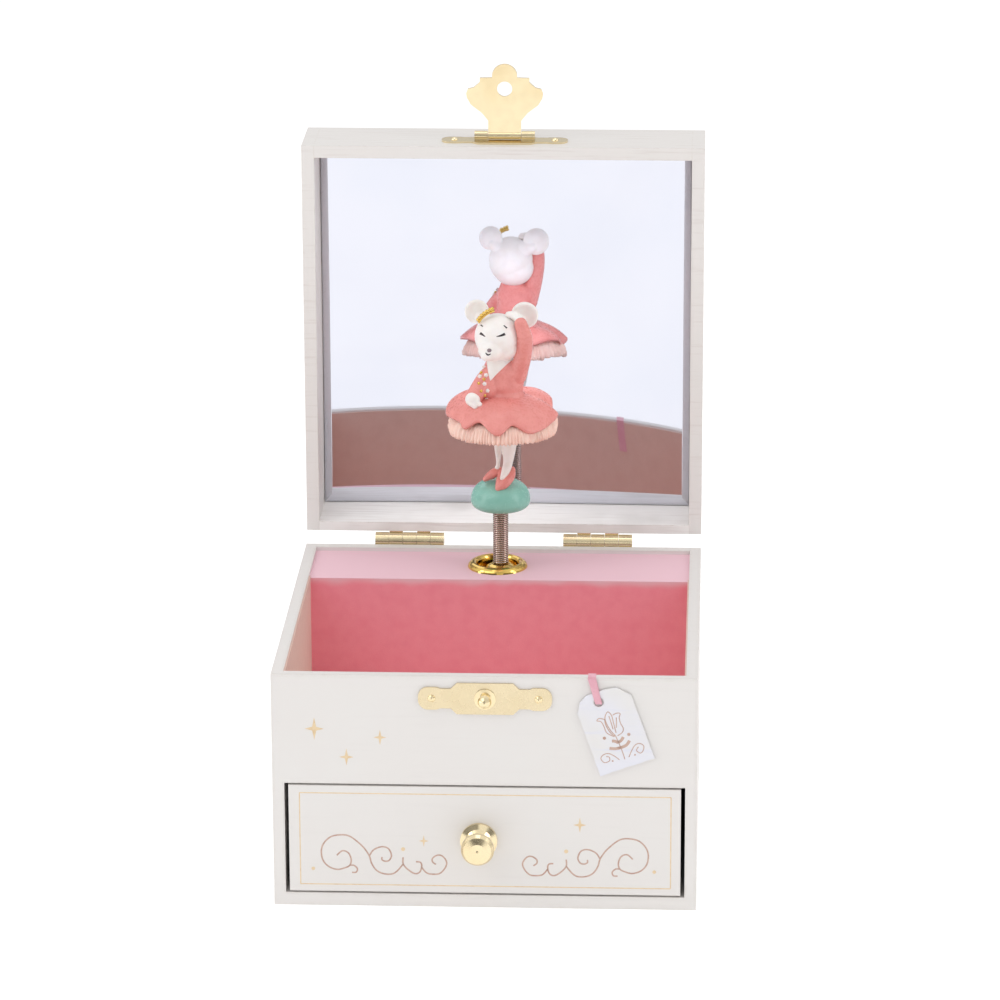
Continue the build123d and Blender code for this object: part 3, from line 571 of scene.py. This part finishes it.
def skirt():
    """Bell-shaped overskirt with uneven lobes and a thick rolled hem."""
    centre = spot(0.35, 0, 0)
    hem = smooth_line(HEM, 12) + smooth_line([HEM[-1], (210, *HEM[0][1:])], 12)[1:-1]
    waist_r, waist_h = 4.6, 24.2
    hem_r, hem_h = 14.9, 18.7
    rings = []
    steps = [0, 0.1, 0.22, 0.35, 0.48, 0.6, 0.7, 0.8, 0.88, 0.94, 0.98, 1.0]
    shape = [(t, 0.38 * t + 0.62 * t**3, 0.0) for t in steps]
    shape += [(1.005, 1.03, 0.35), (0.985, 1.02, 0.75), (0.95, 0.93, 0.9)]
    shape += [(0.85, 0.7, 0.9), (0.5, 0.35, 0.9), (0.0, 0.1, 0.9)]
    for t, fall, thick in shape:
        ring = []
        for degrees, height, radius in hem:
            a = math.radians(degrees - 90)
            lobe = t**1.4
            r = waist_r + (hem_r - waist_r) * t + (radius - hem_r) * lobe
            h = waist_h + (hem_h - waist_h) * fall + (height - hem_h) * lobe - thick
            ring.append((centre.x + r * math.cos(a), centre.y + r * math.sin(a), centre.z + h))
        rings.append(ring)
    made = piece("skirt", *skin(rings), "dancer", "coral_plastic")
    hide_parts("dancer_skirt")


def bodice():
    """Coral bodice with the right sleeve raised beside the head and the left sleeve hanging."""
    trunk = [
        lump((1.0, 0.2, 27.6), (5.6, 4.6, 6.4)),
        lump((1.2, 0.2, 22.8), (6.0, 5.2, 4.0)),
        lump((-3.2, -2.4, 26.4), (2.8, 2.6, 4.2)),
        lump((2.6, -0.2, 30.8), (4.4, 3.8, 3.6)),
        lump((-1.6, -0.2, 31.0), (3.0, 3.2, 3.8)),
        lump((0.0, -1.0, 32.4), (4.0, 3.0, 4.0)),
    ]
    raised = form(
        [(4.4, -0.6, 29.5), (6.3, -2.4, 35.5), (7.0, -4.0, 41.0), (5.9, -4.4, 45.4)],
        [3.0, 2.5, 2.2, 1.8],
    )
    lowered = form([(-1.6, -0.8, 31.8), (-4.4, -2.8, 28.4), (-7.0, -5.2, 24.6)], [2.2, 2.5, 2.4])
    made = sculpted("bodice", trunk + [raised, lowered], "dancer", "coral_plastic", 0.22, 5)
    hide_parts("dancer_torso")
    return made


def hands():
    hand = [
        lump((-7.3, -6.6, 24.2), (2.1, 1.6, 2.1)),
        form([(-6.4, -7.4, 23.6), (-5.4, -7.7, 23.1)], [1.0, 0.8]),
        form([(-7.4, -7.5, 23.2), (-6.6, -7.9, 22.6)], [0.95, 0.8]),
    ]
    sculpted("left_hand", hand, "dancer", "cream_plastic", 0.18, 3)
    raised = form([(5.6, -3.6, 46.4), (4.2, -2.4, 47.2), (2.4, -2.2, 47.4)], [1.2, 1.25, 0.9])
    sculpted("right_hand", [raised], "dancer", "cream_plastic", 0.18, 3)


HEAD = (-0.6, -1.4, 40.9)


def ear(centre, radius, thick):
    """A thick round ear, dished towards the front."""
    profile = [(0.05, -0.8 * thick), (0.6 * radius, -0.65 * thick), (0.93 * radius, -0.1 * thick)]
    profile += [(radius, 0.35 * thick), (0.93 * radius, 0.7 * thick), (0.78 * radius, 0.62 * thick)]
    profile += [(0.5 * radius, 0.3 * thick), (0.05, 0.2 * thick)]
    verts, faces = lathe(smooth_line(profile, 4), sides=48)
    placed = [spot(centre[0] + x, centre[1] - h, centre[2] + y) for x, y, h in verts]
    return placed, [tuple(reversed(face)) for face in faces]


def head():
    """Round mouse head with a short muzzle turned to the figure's right, and two thick ears."""
    x, y, h = HEAD
    forms = [
        lump((x, y, h), (6.4, 6.0, 6.5)),
        lump((x + 0.8, y + 0.4, h - 2.2), (5.9, 5.2, 4.9)),
        lump((x - 1.8, y - 4.0, h - 2.8), (3.4, 3.4, 3.1)),
        lump((x - 2.7, y - 5.4, h - 3.7), (1.9, 2.3, 1.8)),
        ear((-6.4, 0.6, 47.6), 3.4, 1.5),
        ear((6.8, 0.8, 46.6), 3.8, 1.7),
        form([(x - 3.6, y + 1.4, h + 4.0), (-5.8, 1.0, 46.2)], [2.2, 1.4]),
        form([(x + 3.6, y + 1.6, h + 3.4), (5.8, 1.2, 45.4)], [2.6, 1.6]),
    ]
    made = sculpted("head", forms, "dancer", "cream_plastic", 0.2, 5)
    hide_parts("dancer_head")
    return made


def surface_of(made):
    mesh = made.data
    return BVHTree.FromPolygons([v.co / MM for v in mesh.vertices], [p.vertices for p in mesh.polygons])


def on_face(tree, x, h):
    """Where the viewer's line of sight through (x, h) in the figure's own plane meets a surface.

    A line that just misses is moved inwards until it meets."""
    sight = TO_VIEWER.normalized()
    hit = None
    while hit is None:
        hit, normal, _, _ = tree.ray_cast(spot(x, 0, h) + sight * 40, -sight)
        x, h = x * 0.95, h - 0.1
    return hit, normal


def painted(name, tree, strokes, slot, finish):
    """Strokes of paint laid on the face: (points, widths) each, 0.05 mm thick."""
    parts = []
    for points, widths in strokes:
        line = smooth_line([(*p, w) for p, w in zip(points, widths)], 5)
        rings = []
        for i, (x, h, width) in enumerate(line):
            ahead = line[min(i + 1, len(line) - 1)]
            behind = line[max(i - 1, 0)]
            along = Vector((ahead[0] - behind[0], ahead[1] - behind[1])).normalized()
            across = Vector((-along.y, along.x)) * width / 2
            ring = []
            for side, lift in ((-1, -0.06), (-0.8, 0.06), (0, 0.08), (0.8, 0.06), (1, -0.06)):
                hit, normal = on_face(tree, x + across.x * side, h + across.y * side)
                ring.append(hit + normal * lift)
            rings.append(ring)
        parts.append(skin(rings))
    return piece(name, *joined(parts), "dancer", slot, finish)


def face(made):
    tree = surface_of(made)
    features = [
        ([(-5.5, 41.2), (-4.9, 40.8), (-4.1, 40.2)], [0.85, 0.65, 0.2]),
        ([(-1.0, 40.2), (0.2, 40.5), (1.35, 41.0)], [0.2, 0.6, 0.9]),
        ([(-5.3, 43.6), (-4.7, 43.1)], [0.45, 0.25]),
        ([(1.0, 43.5), (1.9, 42.7)], [0.25, 0.5]),
        ([(-4.0, 35.5), (-3.4, 34.9), (-2.6, 35.2)], [0.25, 0.5, 0.2]),
    ]
    painted("eyes_brows_mouth", tree, features, "cream_plastic", "face_ink")
    nose, normal = on_face(tree, -3.0, 36.2)
    piece("nose", *ball(nose - normal * 0.15, (0.65, 0.5, 0.55)), "dancer", "cream_plastic", "nose_paint")


def crown():
    """A beaded gold band between the ears, on the figure's right."""
    path = smooth_line([(-5.9, -2.6, 45.7), (-4.9, -3.4, 47.2), (-3.4, -3.8, 48.5), (-1.8, -3.6, 49.2)], 4)
    beads = [form([tuple(p) for p in path[::4]], [0.36] * len(path[::4]))]
    for i, (x, y, h) in enumerate(path):
        rise = 0.4 if i % 2 else 0.65
        beads.append(ball(spot(x - 0.1, y - 0.2, h + rise - 0.3), (0.48, 0.48, 0.48), levels=2))
        beads.append(ball(spot(x + 0.25, y - 0.3, h - 0.4), (0.3, 0.3, 0.3), levels=2))
    piece("crown", *joined(beads), "dancer", "gilt", "brass")


def chest_panel(tree):
    """The pale chest shown by the V of the neckline, as a thin painted area."""
    rows, columns = 14, 12
    front, back = [], []
    for j in range(rows + 1):
        t = j / rows
        h = 34.2 + (27.7 - 34.2) * t
        left = -3.7 + 0.9 * t * t
        right = 3.9 + (-2.7 - 3.9) * t**0.9
        for i in range(columns + 1):
            hit, normal = on_face(tree, left + (right - left) * i / columns, h)
            front.append(hit + normal * 0.07)
            back.append(hit - normal * 0.15)
    row = columns + 1
    total = len(front)
    faces = []
    for j in range(rows):
        for i in range(columns):
            a, b, c, d = j * row + i, j * row + i + 1, (j + 1) * row + i + 1, (j + 1) * row + i
            faces.append((a, d, c, b))
            faces.append((total + a, total + b, total + c, total + d))
    rim = list(range(row)) + [j * row + columns for j in range(1, rows + 1)]
    rim += [rows * row + i for i in range(columns - 1, -1, -1)] + [j * row for j in range(rows - 1, 0, -1)]
    for k, a in enumerate(rim):
        b = rim[(k + 1) % len(rim)]
        faces.append((a, b, total + b, total + a))
    piece("chest", front + back, faces, "dancer", "cream_plastic")


def posy(tree):
    """White and gold beads down the front of the bodice, like a string of small flowers."""
    white = [(-4.6, 31.6), (-4.4, 26.7), (-3.6, 24.8), (-3.7, 22.3), (-5.6, 28.8), (-3.9, 29.2)]
    gold = [(-5.2, 29.9), (-5.3, 24.6), (-4.5, 28.0), (-5.9, 26.8), (-4.4, 23.4)]
    for name, places, radius, slot, finish in (
        ("white_beads", white, 0.55, "cream_plastic", None),
        ("gold_beads", gold, 0.42, "gilt", "brass"),
    ):
        beads = []
        for x, h in places:
            hit, normal = on_face(tree, x, h)
            for k in range(5):
                a = 2 * math.pi * k / 5 + x
                petal = hit + normal * 0.15 + Vector((math.cos(a), 0, math.sin(a))) * radius * 0.65
                beads.append(ball(petal, (radius * 0.5,) * 3, levels=2))
            beads.append(ball(hit + normal * 0.3, (radius * 0.6,) * 3, levels=2))
        piece(name, *joined(beads), "dancer", slot, finish)


def ring_floor():
    """The brass dish low inside the ring, round the turning socket."""
    low, high = (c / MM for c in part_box("spindle_ring"))
    ring_centre = (low + high) / 2
    hole = 5.6
    socket_low, socket_high = (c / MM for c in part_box("spring_socket"))
    socket_centre = (socket_low + socket_high) / 2
    clear = (socket_high.x - socket_low.x) / 2 + 0.15
    under, over = low.z + 0.2, low.z + 0.5
    sides = 64
    rings = []
    for centre, radius, height in (
        (ring_centre, hole, under),
        (ring_centre, hole, over),
        (socket_centre, clear, over),
        (socket_centre, clear, under),
        (ring_centre, hole, under),
    ):
        ring = []
        for k in range(sides):
            a = 2 * math.pi * k / sides
            ring.append((centre.x + radius * math.cos(a), centre.y + radius * math.sin(a), height))
        rings.append(ring)
    piece("ring_floor", *skin(rings, caps=False), "case", "gilt", "brass", smooth=False)


def spring():
    """Close-wound coil of half-millimetre wire between the ring and the dome."""
    low, high = (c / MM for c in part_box("column_spring"))
    centre = (low + high) / 2
    wire = 0.24
    coil = (high.x - low.x) / 2 - wire - 0.05
    turns = 29
    around = 22
    sides = 8
    rings = []
    for i in range(turns * around + 1):
        a = 2 * math.pi * i / around
        height = low.z + wire + (high.z - low.z - 2 * wire) * i / (turns * around)
        outward = Vector((math.cos(a), math.sin(a), 0))
        middle = Vector((centre.x, centre.y, height)) + outward * coil
        ring = []
        for k in range(sides):
            b = 2 * math.pi * k / sides
            ring.append(middle + (outward * math.cos(b) + Vector((0, 0, 1)) * math.sin(b)) * wire)
        rings.append(ring)
    made = piece("coil_spring", *skin(rings), None, "spring_steel")
    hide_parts("column_spring")
    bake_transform(made)


# ---------------------------------------------------------------- mirror
def bowed_mirror():
    """Thin mirror sheet, dished a little because it is held at its edges, most at the lower right."""
    low, high = (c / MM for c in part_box("mirror"))
    centre, half = (low + high) / 2, (high - low) / 2
    count = 48
    back_gap = 0.15
    # Across the sheet u and up it v run from -1 to 1, and bows are depths in millimetres.
    least_bow, more_bow = 0.95, 0.75
    least_at, spread = -0.38, 1.23
    left_bow, left_from = 0.67, -0.19
    verts, faces = [], []
    for j in range(count + 1):
        for i in range(count + 1):
            u, v = 2 * i / count - 1, 2 * j / count - 1
            dish = (least_bow + more_bow * ((u - least_at) / spread) ** 2) * v * v
            left_lift = left_bow * max(0.0, (left_from - u) / (1 + left_from)) ** 2
            depth = high.y - back_gap - dish - left_lift
            verts.append((centre.x + half.x * u, depth, centre.z + half.z * v))
    row = count + 1
    for j in range(count):
        for i in range(count):
            faces.append((j * row + i, j * row + i + 1, (j + 1) * row + i + 1, (j + 1) * row + i))
    made = piece("mirror_sheet", verts, faces, None, "mirror_glass")
    body = made.modifiers.new("thickness", "SOLIDIFY")
    body.thickness = 0.12 * MM
    body.offset = 1.0 if made.data.polygons[0].normal.y > 0 else -1.0
    settle(made)
    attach(made, "lid")
    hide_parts("mirror")


# ---------------------------------------------------------------- printed ornament
def printed(name, lines, origin, across, up, body, slot, finish, proud=0.03):
    """Raised ink: each line is (points, width, closed), in millimetres on a flat board."""
    out = Vector(across).cross(Vector(up)).normalized()
    parts = []
    for points, width, closed in lines:
        path = smooth_line(points, 6, closed) if len(points) > 2 else [Vector(p) for p in points]
        count = len(path)
        rings = []
        for i, p in enumerate(path):
            if closed:
                along = path[(i + 1) % count] - path[i - 1]
            else:
                along = path[min(i + 1, count - 1)] - path[max(i - 1, 0)]
            along = along.normalized()
            side = Vector((-along.y, along.x)) * width / 2
            ring = []
            for share, lift in ((-1, -0.02), (-0.7, proud), (0.7, proud), (1, -0.02)):
                q = p + side * share
                ring.append(Vector(origin) + Vector(across) * q.x + Vector(up) * q.y + out * lift)
            rings.append(ring)
        if closed:
            rings.append(rings[0])
        parts.append(skin(rings, caps=not closed))
    return piece(name, *joined(parts), body, slot, finish, smooth=False)


def star(x, z, reach, waist=0.3):
    """Outline of a four-pointed star, a little taller than it is wide."""
    corners = []
    for k in range(8):
        radius = reach if k % 2 == 0 else reach * waist
        length = radius * (1.25 if k in (0, 4) else 1.0)
        a = math.pi / 2 + k * math.pi / 4
        corners.append((x + length * math.cos(a), z + length * math.sin(a)))
    return corners


def plates(name, outlines, origin, across, up, body, slot, finish, proud=0.03):
    """Filled printed shapes from their outlines."""
    out = Vector(across).cross(Vector(up)).normalized()
    parts = []
    for outline in outlines:
        low = [Vector(origin) + Vector(across) * u + Vector(up) * v - out * 0.02 for u, v in outline]
        high = [p + out * (0.02 + proud) for p in low]
        parts.append(skin([low, high]))
    return piece(name, *joined(parts), body, slot, finish, smooth=False)


def disc(x, z, radius):
    turns = [k * math.pi / 6 for k in range(12)]
    return [(x + radius * math.cos(a), z + radius * math.sin(a)) for a in turns]


LEFT_SCROLLS = [
    [(-39.2, 14.2), (-37.7, 15.5), (-36.1, 14.9), (-35.4, 13.0), (-35.8, 11.4), (-37.3, 10.6), (-39.2, 10.2),
     (-41.4, 11.0), (-42.9, 12.8), (-43.3, 15.4), (-42.6, 17.6), (-40.8, 19.4), (-38.5, 20.0), (-36.4, 19.9),
     (-34.7, 19.0), (-32.6, 17.1), (-31.4, 15.6), (-30.5, 14.0), (-30.0, 12.1), (-28.8, 10.2), (-27.0, 9.2),
     (-24.7, 9.1), (-23.2, 10.0), (-21.6, 12.0)],
    [(-35.8, 11.4), (-34.7, 11.4), (-33.8, 10.5), (-34.1, 9.5), (-35.2, 9.4)],
    [(-30.5, 14.3), (-29.4, 15.9), (-27.3, 16.8), (-25.5, 16.3), (-24.7, 14.4), (-25.3, 13.0), (-26.3, 12.7),
     (-27.2, 13.1), (-27.2, 13.9)],
    [(-21.6, 13.9), (-21.6, 12.0), (-20.3, 10.4), (-18.5, 9.3), (-17.2, 9.8), (-16.7, 11.4), (-17.0, 12.5),
     (-18.2, 12.7)],
    [(-16.7, 11.1), (-15.3, 9.5), (-13.2, 9.2), (-11.7, 9.6), (-10.4, 11.2), (-10.1, 12.8), (-11.2, 14.4),
     (-12.6, 14.6), (-13.8, 13.7), (-13.8, 12.7), (-12.9, 12.0)],
]


def drawer_print():
    """Scrolls, stars, dots and a ruled border on the drawer front."""
    face_at = (0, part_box("drawer_front")[0].y / MM, 0)
    right, up = (1, 0, 0), (0, 0, 1)
    scrolls = [(line, 0.48, False) for line in LEFT_SCROLLS]
    scrolls += [([(-x, z) for x, z in line], 0.48, False) for line in LEFT_SCROLLS]
    printed("drawer_scrolls", scrolls, face_at, right, up, "drawer", "white_paper", "rose_gold_ink")
    stars = [disc(side * 21.6, 16.2, 0.55) for side in (-1, 1)]
    stars += [star(-16.1, 18.6, 1.3), star(25.2, 23.7, 1.7), disc(-45.5, 10.4, 0.5), disc(44.9, 10.7, 0.5)]
    plates("drawer_stars", stars, face_at, right, up, "drawer", "white_paper", "pale_gold_ink")
    x0, x1, z0, z1 = -48.9, 49.2, 6.0, 31.8
    rule = 0.34
    runs = [
        ([(x0, z0), (x1, z0)], rule, False),
        ([(x0, z1), (x1, z1)], rule, False),
        ([(x0, z0), (x0, z1)], rule, False),
        ([(x1, z0), (x1, z1)], rule, False),
    ]
    printed("drawer_border", runs, face_at, right, up, "drawer", "white_paper", "pale_gold_ink", 0.02)


# How far the wrapping paper stands off the boards.
WRAP = 0.05


def frame_sheet(name, outer, inner, place, body, slot):
    """A thin rectangular sheet with a rectangular opening; place turns (u, v, proud) into a point."""
    verts, faces = [], []
    for proud in (-0.01, WRAP):
        for u0, u1, v0, v1 in (outer, inner):
            verts.extend(place(u, v, proud) for u, v in ((u0, v0), (u1, v0), (u1, v1), (u0, v1)))
    for i in range(4):
        k = (i + 1) % 4
        faces.append((8 + i, 8 + k, 12 + k, 12 + i))
        faces.append((i, 4 + i, 4 + k, k))
        faces.append((i, k, 8 + k, 8 + i))
        faces.append((4 + k, 4 + i, 12 + i, 12 + k))
    return piece(name, verts, faces, body, slot, smooth=False)


def wraps():
    """The printed paper that runs unbroken over the joints of the boards, front and top."""
    inset = 0.4
    front_low, front_high = (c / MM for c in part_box("front_wall"))
    left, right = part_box("side_wall_left")[0] / MM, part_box("side_wall_right")[1] / MM
    floor_low, floor_high = (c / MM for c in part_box("bottom_panel"))
    back_low, back_high = (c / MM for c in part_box("back_wall"))
    across = (left.x + inset, right.x - inset)
    opening = (front_low.x - inset, front_high.x + inset)

    def on_front(u, v, proud):
        return (u, front_low.y - proud, v)

    outer = (*across, floor_low.z + inset, front_high.z - inset)
    inner = (*opening, floor_high.z - inset, front_low.z + inset)
    frame_sheet("front_wrap", outer, inner, on_front, "case", "white_paper")

    def on_top(u, v, proud):
        return (u, v, front_high.z + proud)

    outer = (*across, front_low.y + inset, back_high.y - inset)
    inner = (*opening, front_high.y - inset, back_low.y + inset)
    frame_sheet("top_wrap", outer, inner, on_top, "case", "white_paper")


def front_stars():
    face_at = (0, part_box("front_wall")[0].y / MM - WRAP, 0)
    shapes = [star(-44.7, 49.8, 2.5), star(-36.3, 42.0, 1.9), star(-27.4, 47.6, 1.7)]
    right, up = (1, 0, 0), (0, 0, 1)
    plates("front_stars", shapes, face_at, right, up, "case", "white_paper", "pale_gold_ink")


TAG_TILT = math.radians(20)
TAG_HOLE = (30.1, 58.4)


def tag_print():
    """A small tulip with leaves, dots and two curls, printed on the hang tag."""
    origin = (TAG_HOLE[0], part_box("tag_card")[0].y / MM, TAG_HOLE[1])
    across = (math.cos(TAG_TILT), 0, math.sin(TAG_TILT))
    up = (-math.sin(TAG_TILT), 0, math.cos(TAG_TILT))
    fine = 0.3
    lines = [
        [(1.0, -10.3), (1.1, -12.4), (1.2, -14.6), (1.1, -17.2)],
        [(0.6, -10.4), (-0.9, -8.7), (-1.0, -6.7), (-1.3, -5.3), (-2.2, -4.7), (-1.4, -4.3), (-0.2, -5.0)],
        [(-0.2, -5.0), (-0.4, -6.8), (0.0, -9.0), (0.8, -10.3)],
        [(1.0, -10.2), (0.3, -8.6), (-0.1, -6.3), (0.1, -4.5), (1.3, -3.3), (1.9, -4.6), (1.7, -6.6),
         (1.4, -9.5)],
        [(2.2, -4.6), (3.3, -4.4), (4.2, -4.8), (3.6, -5.8), (3.4, -7.4), (3.6, -8.9), (3.0, -9.9),
         (1.5, -10.4)],
        [(1.2, -4.5), (1.1, -6.7), (1.0, -8.3)],
        [(2.9, -5.5), (2.4, -7.0), (1.9, -8.2)],
        [(-0.3, -16.9), (-1.1, -15.6), (-2.4, -14.3), (-3.9, -14.2), (-4.8, -15.0), (-4.3, -16.3),
         (-2.9, -16.3), (-2.6, -15.3), (-3.3, -14.9)],
        [(2.3, -17.0), (3.5, -15.6), (4.9, -14.4), (6.2, -14.3), (7.0, -15.3), (6.4, -16.5), (5.5, -16.9),
         (4.8, -15.9), (5.6, -15.1)],
    ]
    strokes = [(line, fine, False) for line in lines]
    leaves = [[(1.0, -12.3), (0.3, -11.6), (-0.4, -11.3)], [(1.1, -12.2), (2.0, -11.9), (2.8, -11.2)]]
    leaves += [[(1.2, -13.8), (-0.3, -13.6), (-1.7, -13.0)], [(1.3, -13.8), (2.8, -13.6), (4.0, -12.7)]]
    strokes += [(leaf, 0.95, False) for leaf in leaves]
    printed("tag_flower", strokes, origin, across, up, "tag", "tag_paper", "rose_gold_ink", 0.02)
    dots = [disc(-2.0, -9.9, 0.45), disc(4.4, -11.0, 0.45), disc(-2.1, -16.6, 0.25), disc(4.0, -16.9, 0.25)]
    plates("tag_dots", dots, origin, across, up, "tag", "tag_paper", "rose_gold_ink", 0.02)


# ---------------------------------------------------------------- studio
BOUNCE_REACHES = (
    "dome", "legs", "shoes", "petticoat", "skirt", "bodice", "left_hand", "right_hand", "head", "crown",
    "coil_spring",
)


def studio():
    """Pale floor, a sky that is dimmer low down and behind the camera, and soft lamps."""
    low = CAD_BOX[0].z
    floor = bpy.data.meshes.new("floor")
    reach = 6.0
    corners = [(-reach, -reach, low), (reach, -reach, low), (reach, reach, low), (-reach, reach, low)]
    floor.from_pydata(corners, [], [(0, 1, 2, 3)])
    made = bpy.data.objects.new("floor", floor)
    bpy.context.scene.collection.objects.link(made)
    floor.materials.append(floor_finish())

    lights = [
        ("key", (-0.8, -1.0, 1.3), 1.0, 1.0, 3.4),
        ("front", (0.4, -2.0, 0.8), 1.0, 1.0, 2.4),
        ("top", (0.0, 0.05, 1.3), 0.5, 0.5, 0.8),
        ("left_strip", (-1.1, -0.35, 0.5), 0.25, 1.0, 2.3),
        ("right_strip", (1.1, -0.35, 0.5), 0.25, 1.0, 2.3),
    ]
    for name, place, width, height, power in lights:
        lamp = bpy.data.lights.new(name, "AREA")
        lamp.shape = "RECTANGLE"
        lamp.size, lamp.size_y = width, height
        lamp.energy = power
        holder = bpy.data.objects.new(name, lamp)
        holder.location = place
        aim = Vector((0, 0, 0.08)) - Vector(place)
        holder.rotation_euler = aim.to_track_quat("-Z", "Y").to_euler()
        bpy.context.scene.collection.objects.link(holder)

    # Stands in for light thrown back by the mirror on the figure, the spring and the foot of the lid.
    low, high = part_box("mirror")
    bounce = bpy.data.lights.new("mirror_bounce", "AREA")
    bounce.size = 0.07
    bounce.energy = 0.026
    holder = bpy.data.objects.new("mirror_bounce", bounce)
    holder.location = ((low.x + high.x) / 2, low.y - 0.004, low.z * 0.6 + high.z * 0.4)
    holder.rotation_euler = Vector((0, -1, -0.7)).to_track_quat("-Z", "Y").to_euler()
    holder.visible_camera = False
    holder.visible_glossy = False
    bpy.context.scene.collection.objects.link(holder)
    reached = bpy.data.collections.new("mirror_bounce_reaches")
    for name in BOUNCE_REACHES:
        reached.objects.link(bpy.data.objects[name])
    reached.objects.link(frame["nodes"]["lid_hinge_rim"])
    holder.light_linking.receiver_collection = reached

    world = bpy.data.worlds.new("studio_world")
    world.use_nodes = True
    nodes, links = world.node_tree.nodes, world.node_tree.links
    height = nodes.new("ShaderNodeSeparateXYZ")
    links.new(nodes.new("ShaderNodeTexCoord").outputs["Generated"], height.inputs[0])
    sky = nodes.new("ShaderNodeMapRange")
    links.new(height.outputs[2], sky.inputs["Value"])
    for socket, value in (("From Min", 0.05), ("From Max", 0.5), ("To Min", 0.39), ("To Max", 0.92)):
        sky.inputs[socket].default_value = value
    behind_camera = nodes.new("ShaderNodeMapRange")
    links.new(height.outputs[1], behind_camera.inputs["Value"])
    for socket, value in (("From Min", -0.95), ("From Max", -0.45), ("To Min", 0.25), ("To Max", 1.0)):
        behind_camera.inputs[socket].default_value = value
    both = nodes.new("ShaderNodeMath")
    both.operation = "MULTIPLY"
    links.new(sky.outputs[0], both.inputs[0])
    links.new(behind_camera.outputs[0], both.inputs[1])
    back = nodes["Background"]
    back.inputs["Color"].default_value = (1.0, 1.0, 1.0, 1.0)
    links.new(both.outputs[0], back.inputs["Strength"])
    bpy.context.scene.world = world
    bpy.context.scene.view_settings.view_transform = "Standard"


def camera():
    """The view slightly from the right, 17 degrees above level."""
    azimuth, elevation, roll = (math.radians(a) for a in (2.71, 17.31, -0.19))
    level = math.cos(elevation)
    back = Vector((math.sin(azimuth) * level, -math.cos(azimuth) * level, math.sin(elevation)))
    right = (-back).cross(Vector((0, 0, 1))).normalized()
    up = right.cross(-back)
    tilted_right = right * math.cos(roll) + up * math.sin(roll)
    tilted_up = up * math.cos(roll) - right * math.sin(roll)
    lens = bpy.data.cameras.new("camera")
    lens.lens = 173.95
    lens.sensor_width = 36.0
    lens.clip_end = 20.0
    made = bpy.data.objects.new("camera", lens)
    place = Vector((60.77, -1246.97, 484.88)) * MM
    turn = Matrix((tilted_right, tilted_up, back)).transposed().to_4x4()
    made.matrix_world = Matrix.Translation(place) @ turn
    bpy.context.scene.collection.objects.link(made)
    bpy.context.scene.camera = made


def dancer():
    dome()
    legs()
    petticoat()
    skirt()
    clothed = surface_of(bodice())
    chest_panel(clothed)
    posy(clothed)
    hands()
    face(head())
    crown()


paint_frame()
dancer()
ring_floor()
spring()
bowed_mirror()
drawer_print()
wraps()
front_stars()
tag_print()
studio()
camera()
